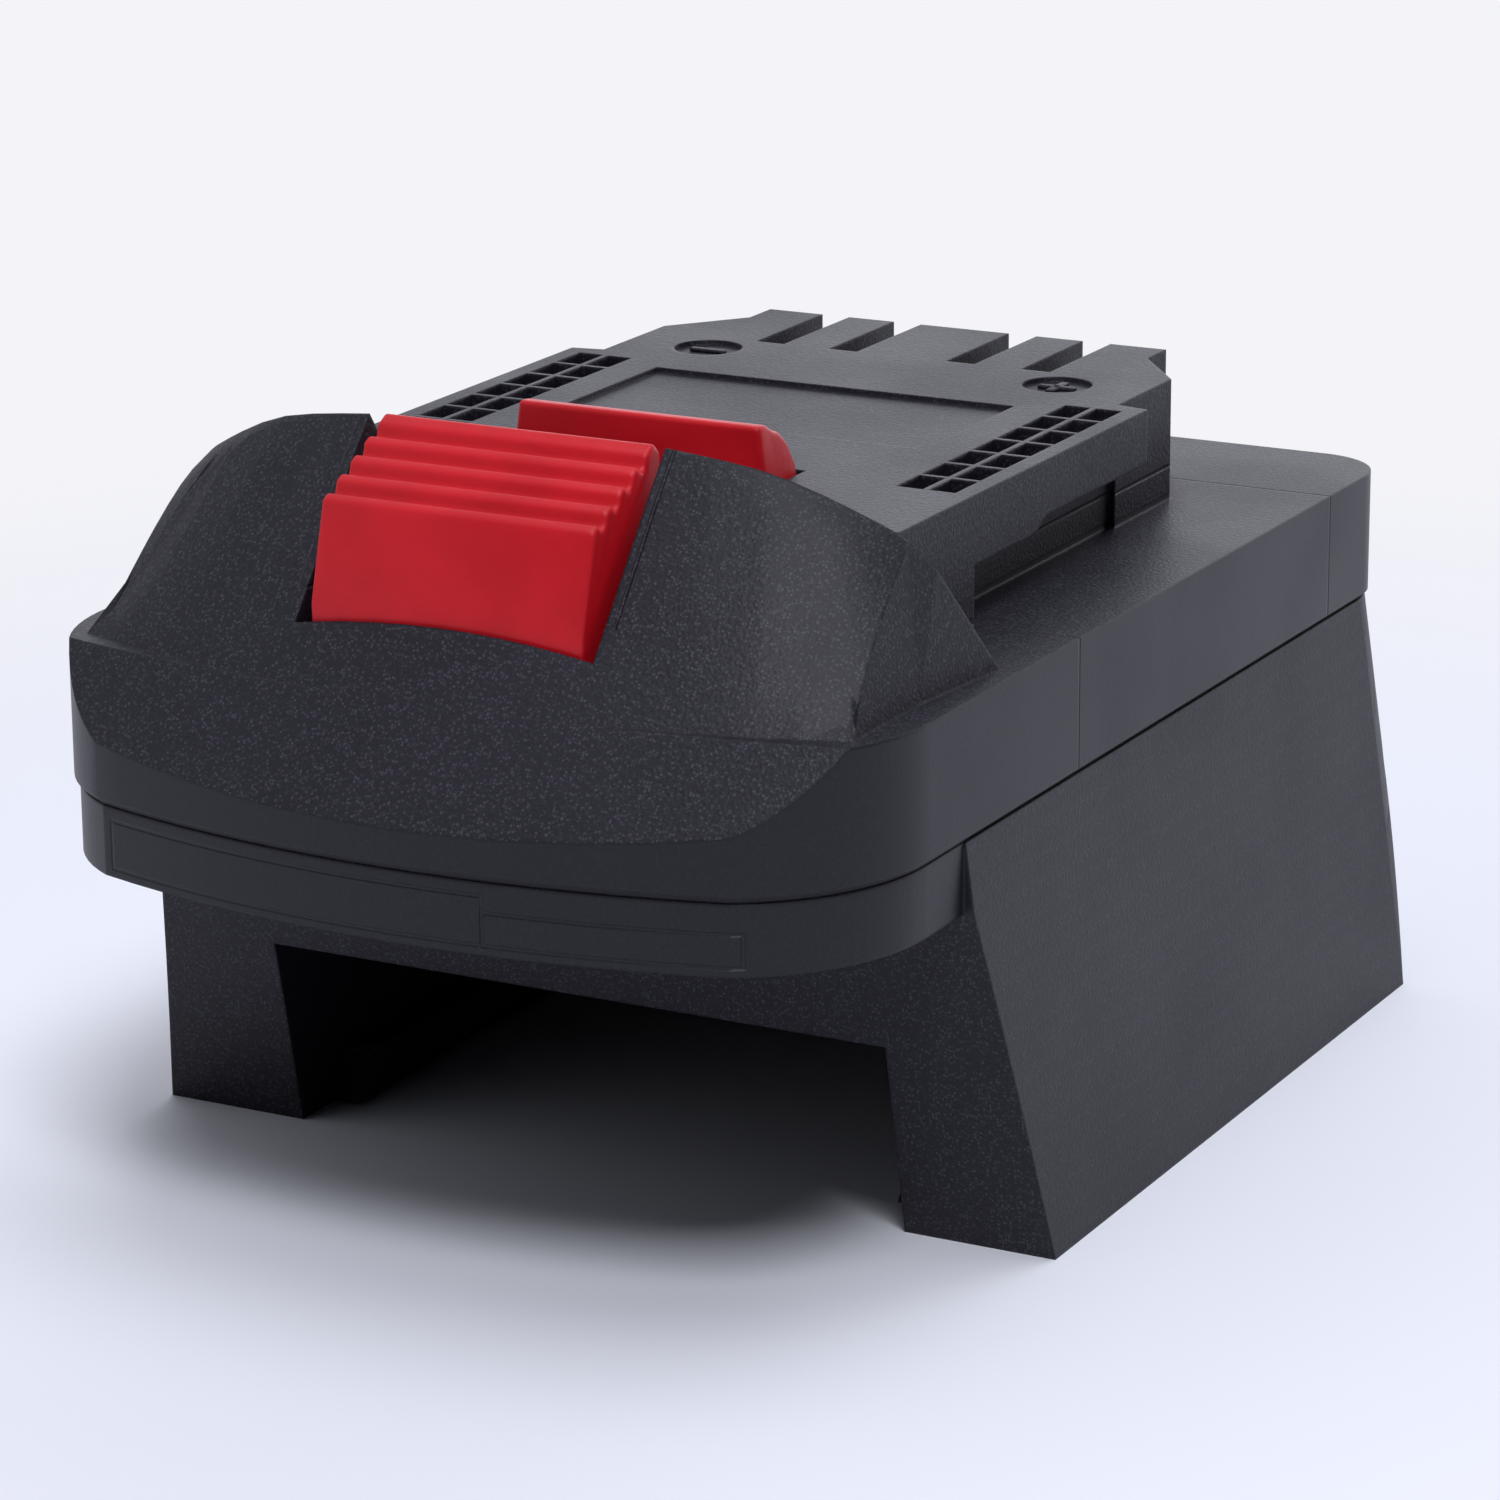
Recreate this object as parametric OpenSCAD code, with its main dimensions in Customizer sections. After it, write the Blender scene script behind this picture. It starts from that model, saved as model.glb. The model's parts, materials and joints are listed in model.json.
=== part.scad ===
// Tool battery adapter: two moulded shells, a sprung latch and the contacts between them.
// Origin is the bottom centre. X is width, Y is length with the button at -Y, Z is up.

/* [Body] */
// Width across the seam between the shells
body_w = 68.3; // [60:0.1:90]
// Length from the bowed front to the rear wall
body_l = 103.9; // [90:0.5:125]
// Height of the seam above the feet
seam_z = 32.8; // [30:0.5:40]
// Radius of the bowed front in plan
front_bow_r = 90; // [80:1:200]
// Corner radius at the front in plan
front_corner_r = 16; // [10:0.5:20]
// Corner radius at the rear in plan
rear_corner_r = 6; // [4:0.5:12]
// General wall thickness
wall = 2.4; // [1.8:0.1:3.5]
// Height of the fine groove that marks the seam
seam_groove = 0.5; // [0.3:0.1:1]

/* [Upper shell] */
// Height of the flange above the seam
flange_h = 10.4; // [8:0.1:14]
// Height of the sliding deck above the flange
deck_h = 9.8; // [7:0.1:12]
// Half width of the deck with its rails
rail_x = 25.7; // [20:0.1:30]
// Thickness of the rails along most of their length
rail_t = 4.3; // [3:0.1:6]
// Extra depth of the front part of the rails
rail_step = 1; // [0.5:0.1:2]
// Depth of the groove below each rail
rail_under = 3.2; // [2:0.1:5]
// Length of the deck behind the middle of the body
deck_rear_l = 21.1; // [18:0.5:30]
// Length of the groove in front of the middle of the body
groove_front_l = 9.8; // [3:0.1:12]
// Length of the deep front part of the rail behind the middle
rail_step_l = 0.6; // [0.2:0.1:6]
// Half width of the terminal block
block_x = 23; // [20:0.1:24]
// Where the terminal block starts to narrow
block_y1 = 31.8; // [30:0.1:38]
// Where the terminal block stops narrowing
block_y2 = 38; // [36:0.1:43]
// Half width of the terminal block at the rear
block_rear_x = 18.2; // [16:0.1:20]
// Rear end of the terminal block
block_y3 = 41.7; // [41:0.1:50]

/* [Deck details] */
// Width of a terminal slot
slot_w = 2.5; // [2:0.1:4]
// Length of a terminal slot
slot_l = 11.8; // [9:0.1:14]
// Depth of a terminal slot
slot_depth = 6.6; // [4:0.1:8]
// Distance from the middle to the inner slots
slot_x1 = 5.3; // [4:0.1:7]
// Distance from the middle to the outer slots
slot_x2 = 12; // [10:0.1:14]
// Rows in each vent grid
vent_rows = 7; // [3:1:10]
// Length of a vent grid
vent_l = 29.5; // [20:0.5:34]
// Middle of a vent grid along the body
vent_y = 4.9; // [3:0.05:10]
// Width of a vent grid
vent_w = 4.8; // [3:0.1:6]
// Distance from the middle to a vent grid
vent_x = 19.35; // [18:0.05:21]
// Thickness of the ribs between vent cells
vent_rib = 0.5; // [0.3:0.1:1]
// Depth of the vent cells
vent_depth = 2; // [1:0.1:3]
// Half width of the label recess
label_x = 15.9; // [10:0.1:17]
// Front end of the label recess
label_y1 = 1.6; // [1:0.1:10]
// Rear end of the label recess
label_y2 = 17.6; // [15:0.1:24]
// Depth of the label recess and of the polarity discs
label_depth = 0.4; // [0.2:0.1:0.8]
// Radius of a polarity disc
disc_r = 2.8; // [2:0.1:4]
// Distance from the middle to a polarity disc
disc_x = 15.7; // [14:0.1:18]
// Position of the polarity discs along the body
disc_y = 26; // [24:0.1:31]

/* [Hump] */
// Height of the hump's crest above the deck
crest_h = 7.8; // [5:0.1:9]
// Radius of the crest seen from the front
crest_bow_r = 80; // [70:1:200]
// Height above the seam where the front slope starts
brow_h = 3.1; // [2:0.1:6]
// Distance from the front to the bend of the slope
bend_l = 9.9; // [8:0.1:16]
// Height of the bend above the start of the slope
bend_h = 12.4; // [8:0.1:14]
// Distance from the front to the crest
crest_l = 19.5; // [16:0.1:28]
// Distance from the front to the hump's rear foot
hump_l = 32.1; // [28:0.1:36]
// Half width of the hump at the flange
flank_foot_x = 31.4; // [30:0.1:34]
// Half width of the hump near the crest
flank_top_x = 29.6; // [26:0.1:32]
// How far the rear wing stands out at the flange
wing_out = 1.3; // [0.5:0.1:3]
// Length of the rear wing
wing_l = 17; // [10:0.5:22]
// Radius of the hump's shoulders seen from the front
shoulder_r = 1.8; // [1:0.1:5]
// Radius of the cone that rounds the hump's front corners at the flange
corner_cone_r = 37.7; // [33:0.1:42]
// Radius of that cone at the deck
corner_cone_top_r = 31.2; // [28:0.1:36]
// Radius of the hump's front in plan
hump_bow_r = 100; // [70:1:200]
// Radius in plan of the slope that meets the front band
brow_bow_r = 140; // [90:1:250]

/* [Lower shell] */
// Height of the lip below the seam
lip_h = 5.3; // [4:0.1:8]
// How far the lip steps in below the seam
lip_inset = 0.4; // [0.2:0.1:2]
// Outward flare of the side walls at the feet
flare_x = 4.2; // [1:0.1:6]
// How far the rear face runs forward towards the feet
rear_rake = 5.2; // [2:0.1:8]
// Distance from the front to the leg's front at the lip
leg_top_l = 23.8; // [18:0.1:30]
// How far the leg's front runs back towards the foot
leg_rake = 6.1; // [3:0.1:14]
// Curve of the leg's front
leg_hollow = 0.2; // [0.2:0.1:3]
// Half width of the battery channel
channel_x = 26.15; // [20:0.05:28]
// Height of the battery channel
channel_h = 15.4; // [12:0.1:18]
// Inward reach of the battery rails
battery_rail_in = 2.6; // [1.5:0.1:4]
// Height of the battery rails
battery_rail_h = 3.6; // [2.5:0.1:5]
// Distance from the leg's front to the battery rails
battery_rail_back = 4; // [2:0.1:8]
// Width of the inner leg block seen from the front
leg_block_w = 7; // [4:0.1:9]
// Depth of the fine step on the leg's front
leg_step = 0.7; // [0.3:0.1:1.5]

/* [Latch] */
// Travel of the latch when the button is pushed down
latch_travel = 5; // [4:0.1:6]
// Half width of the release button
button_x = 11.1; // [8:0.1:12]
// Gap between the button and its window
button_gap = 1.1; // [0.4:0.1:2]
// Height of the button's front face
button_face_h = 7.1; // [6:0.1:10]
// Backward lean of the button's front face
button_lean = 1.9; // [0:0.1:4]
// How far the button's rear stands above the crest
button_proud = -0.9; // [-2:0.1:1]
// How far the button's rear stands behind the crest
button_back = 1.9; // [0.5:0.1:3]
// Ribs on the button
button_ribs = 5; // [3:1:8]
// Depth of the grooves between the ribs
button_rib_h = 0.8; // [0.3:0.1:1.5]
// Half width of the locking tongue
tongue_x = 10.6; // [8:0.1:12]
// Height of the tongue above the deck
tongue_h = 3.9; // [3:0.1:5]
// Length of the tongue's sloping top
tongue_l = 8.3; // [6:0.1:10]
// Inward lean of the tongue's ends
tongue_cut = 1; // [0.3:0.1:2]
// Front face of the tongue ahead of the middle
tongue_front_l = 8.6; // [5:0.1:12]
// Thickness of the latch's bridge
bridge_t = 3; // [2:0.1:4]
// Gap between the latch and what it slides in
slide_gap = 0.4; // [0.3:0.05:0.8]
// Outer radius of a latch spring
spring_r = 3.2; // [2.5:0.1:4]
// Radius of the spring wire
spring_wire_r = 0.35; // [0.25:0.05:0.5]
// Turns in a latch spring
spring_turns = 6; // [4:1:8]
// Distance from the middle to a spring
spring_x = 6; // [4.5:0.1:7]

/* [Contacts] */
// Thickness of the contact metal
contact_t = 0.5; // [0.3:0.05:0.8]
// Height of a contact clip
contact_h = 4; // [3:0.1:6]
// Length of a contact clip
contact_l = 12; // [9:0.1:14]
// Thickness of the circuit board
board_t = 1.6; // [1:0.1:2]
// Half width of the circuit board
board_x = 17; // [15:0.1:19]
// Front end of the circuit board
board_y1 = 7.1; // [5:0.1:14]
// Rear end of the circuit board
board_y2 = 38.1; // [36:0.1:42]
// Height of the board's underside above the seam
board_h = 2.6; // [2:0.1:4]
// Half width of the battery terminal holder
holder_x = 19; // [17:0.1:22]
// Length of the battery terminal holder
holder_l = 12; // [9:0.1:16]
// Height of the battery terminal holder
holder_h = 10.5; // [8:0.1:12]
// Thickness of a terminal blade
blade_t = 0.8; // [0.5:0.05:1.2]
// Height of a terminal blade
blade_h = 5; // [4:0.1:7]
// Length of a terminal blade ahead of the holder
blade_l = 12; // [8:0.1:16]
// Distance from the middle to a power blade
blade_x = 13; // [10:0.1:15]
// Radius of an insulated lead
lead_r = 1.2; // [0.8:0.05:1.6]

/* [Screws] */
// Radius of a housing screw
screw_r = 1.5; // [1.2:0.05:2]
// Radius of a screw head
screw_head_r = 2.8; // [2.4:0.05:3.4]
// Height of a screw head
screw_head_h = 2; // [1.5:0.1:3]
// Length of a screw below its head
screw_l = 9; // [8:0.1:10]
// Radius of a screw boss
boss_r = 3.6; // [3.2:0.1:4.2]
// Clearance between a screw and its hole
screw_fit = 0.05; // [0.03:0.01:0.2]
// Gap between fixed pieces that sit side by side
seat_gap = 0.1; // [0.05:0.05:0.3]

/* [Hidden] */
front_y = -body_l / 2;
rear_y = body_l / 2;
half_w = body_w / 2;
flange_z = seam_z + flange_h;
deck_z = flange_z + deck_h;
crest_z = deck_z + crest_h;
brow_z = seam_z + brow_h;
bend_y = front_y + bend_l;
bend_z = brow_z + bend_h;
crest_y = front_y + crest_l;
hump_y = front_y + hump_l;
lip_z = seam_z - lip_h;
roof_z = channel_h + wall;
leg_top_y = front_y + leg_top_l;
foot_y = leg_top_y + leg_rake;
latch_z = bend_z - latch_travel - seam_groove;
window_x = button_x + button_gap;
window_y1 = bend_y - slide_gap;
button_y1 = bend_y;
button_y2 = crest_y + button_back;
button_top_l = button_y2 - button_rib_h - button_y1 - button_lean;
window_y2 = button_y2 + slide_gap;
button_top_z1 = bend_z + button_face_h;
button_top_z2 = crest_z + button_proud;
bridge_z2 = latch_z + bridge_t;
spring_y = (button_y1 + button_y2) / 2;
floor_z = lip_z + wall;
board_z = seam_z + board_h;
board_top_z = board_z + board_t;
deck_under_z = deck_z - wall;
slot_z = deck_z - slot_depth;
over = wall;
corner_cone_slope = (corner_cone_r - corner_cone_top_r) / deck_h;
front_slope = bend_h / bend_l;
channel_y2 = rear_y - rear_rake - wall;
roof_y2 = rear_y - rear_rake * (1 - roof_z / seam_z) - wall;
lower_x = half_w + flare_x;
corner_reach = sqrt(pow(rear_corner_r + flare_x, 2) + pow(rear_corner_r - rear_rake, 2));
holder_y2 = channel_y2 - seat_gap;
holder_y1 = holder_y2 - holder_l;
holder_z1 = channel_h - holder_h;
blade_z1 = holder_z1 + (holder_h - blade_h) / 2;
blade_y1 = holder_y1 - blade_l;
tail_y = holder_y1 + holder_l / 2;
lead_z1 = roof_z + wall;
front_boss_x = half_w - front_corner_r + boss_r / 2;
front_boss_y = front_y + front_corner_r;
rear_boss_x = (channel_x + half_w) / 2;
rear_boss_y = rear_y - 2 * rear_corner_r;
screw_top_z = seam_z - wall;
board_boss_x = board_x - boss_r;
board_boss_y = board_y1 + boss_r;
tongue_y1 = -tongue_front_l;
tongue_y2 = tongue_y1 + tongue_l;

$fn = 96;

// Right half of the plan outline, stepped in by inset
function bow_y(x) = front_y + x * x / (2 * front_bow_r);
module plan(inset = 0, rear_r = rear_corner_r) {
  corner_x = half_w - front_corner_r;
  corner_y = bow_y(corner_x) + front_corner_r;
  rear_x = half_w - rear_r;
  side = rear_y - rear_r;
  intersection() {
    translate([0, front_y + front_bow_r]) {
      circle(r = front_bow_r - inset, $fn = 360);
    }
    union() {
      translate([-half_w + inset, corner_y]) {
        square([body_w - 2 * inset, side - corner_y]);
      }
      translate([-rear_x, corner_y]) {
        square([2 * rear_x, rear_y - inset - corner_y]);
      }
      translate([-corner_x, front_y - over]) {
        square([2 * corner_x, body_l / 2]);
      }
      for (s = [-1, 1]) {
        translate([s * rear_x, side]) {
          circle(r = rear_r - inset);
        }
        translate([s * corner_x, corner_y]) {
          circle(r = front_corner_r - inset);
        }
      }
    }
  }
}

// Prism drawn by its side view in Y and Z, centred on X
module side_prism(points, width) {
  translate([-width / 2, 0, 0]) {
    rotate([90, 0, 90]) {
      linear_extrude(width) {
        polygon(points);
      }
    }
  }
}

// Front view of the hump: a wide crest arc, sloping flanks and rounded shoulders
module hump_section() {
  run = flank_foot_x - flank_top_x;
  slant = sqrt(run * run + deck_h * deck_h);
  along = [-run / slant, deck_h / slant];
  inward = [-deck_h / slant, -run / slant];
  middle = [0, crest_z - crest_bow_r];
  start = [flank_foot_x, flange_z] + shoulder_r * inward - middle;
  p = start[0] * along[0] + start[1] * along[1];
  q = start[0] * start[0] + start[1] * start[1] - pow(crest_bow_r - shoulder_r, 2);
  centre = middle + start + (-p + sqrt(p * p - q)) * along;
  ray = centre - middle;
  to_arc = ray / sqrt(ray[0] * ray[0] + ray[1] * ray[1]) * shoulder_r;
  to_flank = -inward * shoulder_r;
  reach = (flange_h + over) / deck_h;
  difference() {
    intersection() {
      translate(middle) {
        circle(r = crest_bow_r, $fn = 360);
      }
      polygon([[-flank_foot_x - reach * run, seam_z - over], [-flank_top_x + run, crest_z + over],
        [flank_top_x - run, crest_z + over], [flank_foot_x + reach * run, seam_z - over]]);
    }
    for (s = [0, 1]) {
      mirror([s, 0]) {
        polygon([centre, centre + 3 * to_arc, centre + 3 * to_arc + 3 * to_flank, centre + 3 * to_flank]);
      }
    }
  }
  for (s = [0, 1]) {
    mirror([s, 0]) {
      translate(centre) {
        circle(r = shoulder_r);
      }
    }
  }
}

// Front of the hump: a cone about the centre of its bowed front
module hump_slopes() {
  rise = crest_z + over - brow_z;
  translate([0, front_y + hump_bow_r, 0]) {
    rotate_extrude($fn = 360) {
      polygon([[0, seam_z - over], [hump_bow_r + over, seam_z - over], [hump_bow_r + over, brow_z - over * front_slope],
        [hump_bow_r - rise / front_slope, brow_z + rise], [0, brow_z + rise]]);
    }
  }
}

// Cone that rounds the hump's front corners
module hump_corners() {
  translate([0, hump_y, seam_z - over]) {
    cylinder(r1 = corner_cone_r + (flange_h + over) * corner_cone_slope,
      r2 = corner_cone_r - (crest_z + over - flange_z) * corner_cone_slope, h = crest_z + 2 * over - seam_z, $fn = 360);
  }
}

module hump() {
  intersection() {
    hump_slopes();
    translate([0, hump_y + over, 0]) {
      rotate([90, 0, 0]) {
        linear_extrude(hump_l + 2 * over) {
          hump_section();
        }
      }
    }
    hump_corners();
  }
}

// Cone that keeps the flange below the front slope
module brow_cutter() {
  high = flange_z + wall;
  translate([0, front_y + brow_bow_r, 0]) {
    rotate_extrude($fn = 360) {
      polygon([[brow_bow_r + wall, brow_z - wall * front_slope], [brow_bow_r + wall, high],
        [brow_bow_r - (high - brow_z) / front_slope, high]]);
    }
  }
}

// Everything behind the hump's sloping rear face
module rear_cutter() {
  lean = (hump_y - crest_y) / (crest_z - flange_z);
  low = flange_z - wall / 2;
  high = crest_z + over;
  side_prism([[hump_y + (flange_z - low) * lean, low], [crest_y - (high - crest_z) * lean, high],
    [hump_y + 3 * over, high], [hump_y + 3 * over, low]], 2 * body_w);
}

// Flat wing behind the hump's flank on one side
module wing(s) {
  drop = wall / deck_h;
  back = hump_y + over / 2;
  top = [s * flank_top_x, crest_y + (back - crest_y) / 2, deck_z];
  toe = [s * (flank_foot_x - wing_out / 2), hump_y - wing_l, flange_z];
  heel = [s * (flank_foot_x + wing_out), back, flange_z];
  inner = [s * block_rear_x, hump_y - wing_l / 2, flange_z - wall];
  low_toe = toe + (toe - top) * drop;
  low_heel = heel + (heel - top) * drop;
  points = [top, low_toe, low_heel, inner];
  if (s > 0) {
    polyhedron(points, [[0, 2, 1], [0, 1, 3], [0, 3, 2], [1, 2, 3]]);
  } else {
    polyhedron(points, [[0, 1, 2], [0, 3, 1], [0, 2, 3], [1, 3, 2]]);
  }
}

module box(x1, x2, y1, y2, z1, z2) {
  translate([x1, y1, z1]) {
    cube([x2 - x1, y2 - y1, z2 - z1]);
  }
}

module deck_outline(extra = 0) {
  polygon([[-block_rear_x, block_y3], [-block_rear_x, block_y2], [-block_x, block_y1], [-block_x, deck_rear_l + seam_groove],
    [-rail_x, deck_rear_l], [-rail_x, hump_y - over], [rail_x, hump_y - over], [rail_x, deck_rear_l],
    [block_x, deck_rear_l + seam_groove], [block_x, block_y1], [block_rear_x, block_y2], [block_rear_x, block_y3]]);
}

module deck() {
  difference() {
    translate([0, 0, flange_z - over]) {
      linear_extrude(deck_h + over) {
        deck_outline();
      }
    }
    for (s = [-1, 1]) {
      // groove below the rail, deeper to the rear of the step
      translate([s * rail_x, 0, 0]) {
        side_prism([[-groove_front_l, flange_z], [rear_y, flange_z], [rear_y, deck_z - rail_t],
          [rail_step_l + 2 * rail_step, deck_z - rail_t], [rail_step_l, deck_z - rail_t - rail_step],
          [-groove_front_l, deck_z - rail_t - rail_step]], 2 * rail_under);
      }
    }
    for (s = [-1, 1]) {
      // keeps the terminal block clear of the groove cut behind the rails
      box(s > 0 ? block_x : -rail_x - over, s > 0 ? rail_x + over : -block_x, deck_rear_l + seam_groove, rear_y,
        flange_z, deck_z + over);
    }
  }
}

module block_body() {
  intersection() {
    translate([0, 0, flange_z - over]) {
      linear_extrude(deck_h + over) {
        deck_outline();
      }
    }
    box(-block_x, block_x, deck_rear_l, rear_y, flange_z - over, deck_z);
  }
}

module deck_cuts() {
  for (x = [-slot_x2, -slot_x1, slot_x1, slot_x2]) {
    box(x - slot_w / 2, x + slot_w / 2, block_y3 - slot_l, block_y3 + over, slot_z, deck_z + over);
  }
  cell_w = (vent_w - vent_rib) / 2;
  pitch = (vent_l + vent_rib) / vent_rows;
  for (s = [-1, 1]) {
    for (i = [0:vent_rows - 1]) {
      for (j = [0, 1]) {
        x = s * (vent_x + j * (cell_w + vent_rib));
        y = vent_y - vent_l / 2 + i * pitch;
        box(min(x, x + s * cell_w), max(x, x + s * cell_w), y, y + pitch - vent_rib, deck_z - vent_depth, deck_z + over);
      }
    }
    translate([s * disc_x, disc_y, deck_z - label_depth]) {
      cylinder(r = disc_r, h = over);
    }
  }
  box(-label_x, label_x, label_y1, label_y2, deck_z - label_depth, deck_z + over);
}

module upper_hollow() {
  // room below the flange
  intersection() {
    translate([0, 0, seam_z - over]) {
      linear_extrude(flange_h - wall + over) {
        plan(wall);
      }
    }
    box(-half_w, half_w, bend_y + over, rear_y, seam_z - over, flange_z);
  }
  // room below the front slope and the deck
  low = bend_z - 2 * wall - slide_gap;
  side_prism([[front_y + 2 * wall, seam_z - over], [front_y + 2 * wall, seam_z + seam_groove], [bend_y, low],
    [bend_y + (deck_under_z - low) / front_slope, deck_under_z], [hump_y, deck_under_z], [hump_y, seam_z - over]],
    2 * (window_x + wall));
  box(-block_rear_x + wall, block_rear_x - wall, hump_y - over, block_y3 - wall, seam_z - over, deck_under_z);
}

module upper_housing() {
  color("#2b2b30") {
    difference() {
      union() {
        difference() {
          intersection() {
            translate([0, 0, seam_z]) {
              linear_extrude(crest_z) {
                plan();
              }
            }
            union() {
              difference() {
                box(-body_w, body_w, front_y - over, rear_y + over, seam_z - over, flange_z);
                brow_cutter();
              }
              difference() {
                union() {
                  hump();
                  for (s = [-1, 1]) {
                    wing(s);
                  }
                }
                rear_cutter();
              }
              deck();
              block_body();
            }
          }
          upper_hollow();
          deck_cuts();
          // window for the button, open at the crest
          box(-window_x, window_x, window_y1, window_y2, seam_z, crest_z + over);
          box(-window_x, window_x, window_y1, hump_y, deck_z, crest_z + over);
          // slot for the tongue
          box(-tongue_x - slide_gap, tongue_x + slide_gap, tongue_y1 - slide_gap, tongue_y2 + slide_gap,
            seam_z, deck_z + over);
        }
        for (s = [-1, 1]) {
          translate([s * front_boss_x, front_boss_y, seam_z]) {
            cylinder(r = boss_r, h = screw_l);
          }
          translate([s * rear_boss_x, rear_boss_y, seam_z]) {
            cylinder(r = boss_r, h = flange_h - wall / 2);
          }
          translate([s * board_boss_x, board_boss_y, board_top_z]) {
            cylinder(r = boss_r, h = deck_under_z - board_top_z + wall / 2);
          }
        }
      }
      // pilot holes and the groove along the seam
      for (s = [-1, 1]) {
        translate([s * front_boss_x, front_boss_y, seam_z - over]) {
          cylinder(r = screw_r + screw_fit, h = over + screw_l - wall);
        }
        translate([s * rear_boss_x, rear_boss_y, seam_z - over]) {
          cylinder(r = screw_r + screw_fit, h = over + screw_l - wall);
        }
        translate([s * board_boss_x, board_boss_y, board_top_z - over]) {
          cylinder(r = screw_r + screw_fit, h = over + screw_l - wall);
        }
      }
      translate([0, 0, seam_z - over]) {
        linear_extrude(over + seam_groove) {
          difference() {
            square([2 * body_w, 2 * body_l], center = true);
            plan(seam_groove);
          }
        }
      }
    }
  }
}

// Outline of the legs seen from the side, in Y and Z, with a hollow front edge
module leg_side(back = 0) {
  run = leg_rake;
  hollow_r = (run * run + lip_z * lip_z) / (8 * leg_hollow);
  mid = [leg_top_y + back + run / 2, lip_z / 2];
  reach = hollow_r - leg_hollow;
  span = sqrt(run * run + lip_z * lip_z);
  difference() {
    polygon([[foot_y + back, 0], [rear_y - rear_rake, 0], [rear_y - seam_groove / 2, seam_z],
      [leg_top_y + back, seam_z], [leg_top_y + back, lip_z]]);
    translate([mid[0] - reach * lip_z / span, mid[1] - reach * run / span]) {
      circle(r = hollow_r, $fn = 360);
    }
  }
}

// Cross section of the lower shell in X and Z with its flared sides
module flare_section() {
  top_x = half_w - seam_groove / 2;
  polygon([[-lower_x, 0], [lower_x, 0], [top_x, seam_z], [-top_x, seam_z]]);
}

module flare_solid() {
  translate([0, rear_y + over, 0]) {
    rotate([90, 0, 0]) {
      linear_extrude(body_l + 2 * over) {
        flare_section();
      }
    }
  }
}

module lower_outside() {
  // legs and rear
  intersection() {
    flare_solid();
    translate([-body_w, 0, 0]) {
      rotate([90, 0, 90]) {
        linear_extrude(2 * body_w) {
          leg_side();
        }
      }
    }
    // rear corners that grow sharper towards the feet
    union() {
      box(-lower_x, lower_x, front_y, rear_y - rear_corner_r, 0, seam_z);
      box(-half_w + rear_corner_r, half_w - rear_corner_r, front_y, rear_y, 0, seam_z);
      for (s = [-1, 1]) {
        translate([s * (half_w - rear_corner_r), rear_y - rear_corner_r, 0]) {
          cylinder(r1 = corner_reach, r2 = rear_corner_r - seam_groove / 2, h = seam_z);
        }
      }
    }
  }
  // lip
  translate([0, 0, lip_z]) {
    linear_extrude(lip_h) {
      intersection() {
        plan(lip_inset);
        translate([-half_w, front_y]) {
          square([body_w, body_l / 2]);
        }
      }
    }
  }
}

module lower_hollow() {
  // room above the lip floor
  translate([0, 0, floor_z]) {
    linear_extrude(lip_h) {
      intersection() {
        plan(lip_inset + wall);
        translate([-half_w, front_y]) {
          square([body_w, leg_top_l + 2 * wall]);
        }
      }
    }
  }
  // room above the channel roof
  box(-channel_x, channel_x, leg_top_y + 2 * wall, roof_y2, roof_z, seam_z + over);
  translate([0, 0, floor_z]) {
    linear_extrude(lip_h) {
      intersection() {
        plan(lip_inset + wall);
        translate([-half_w, leg_top_y]) {
          square([body_w, body_l]);
        }
      }
    }
  }
}

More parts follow.
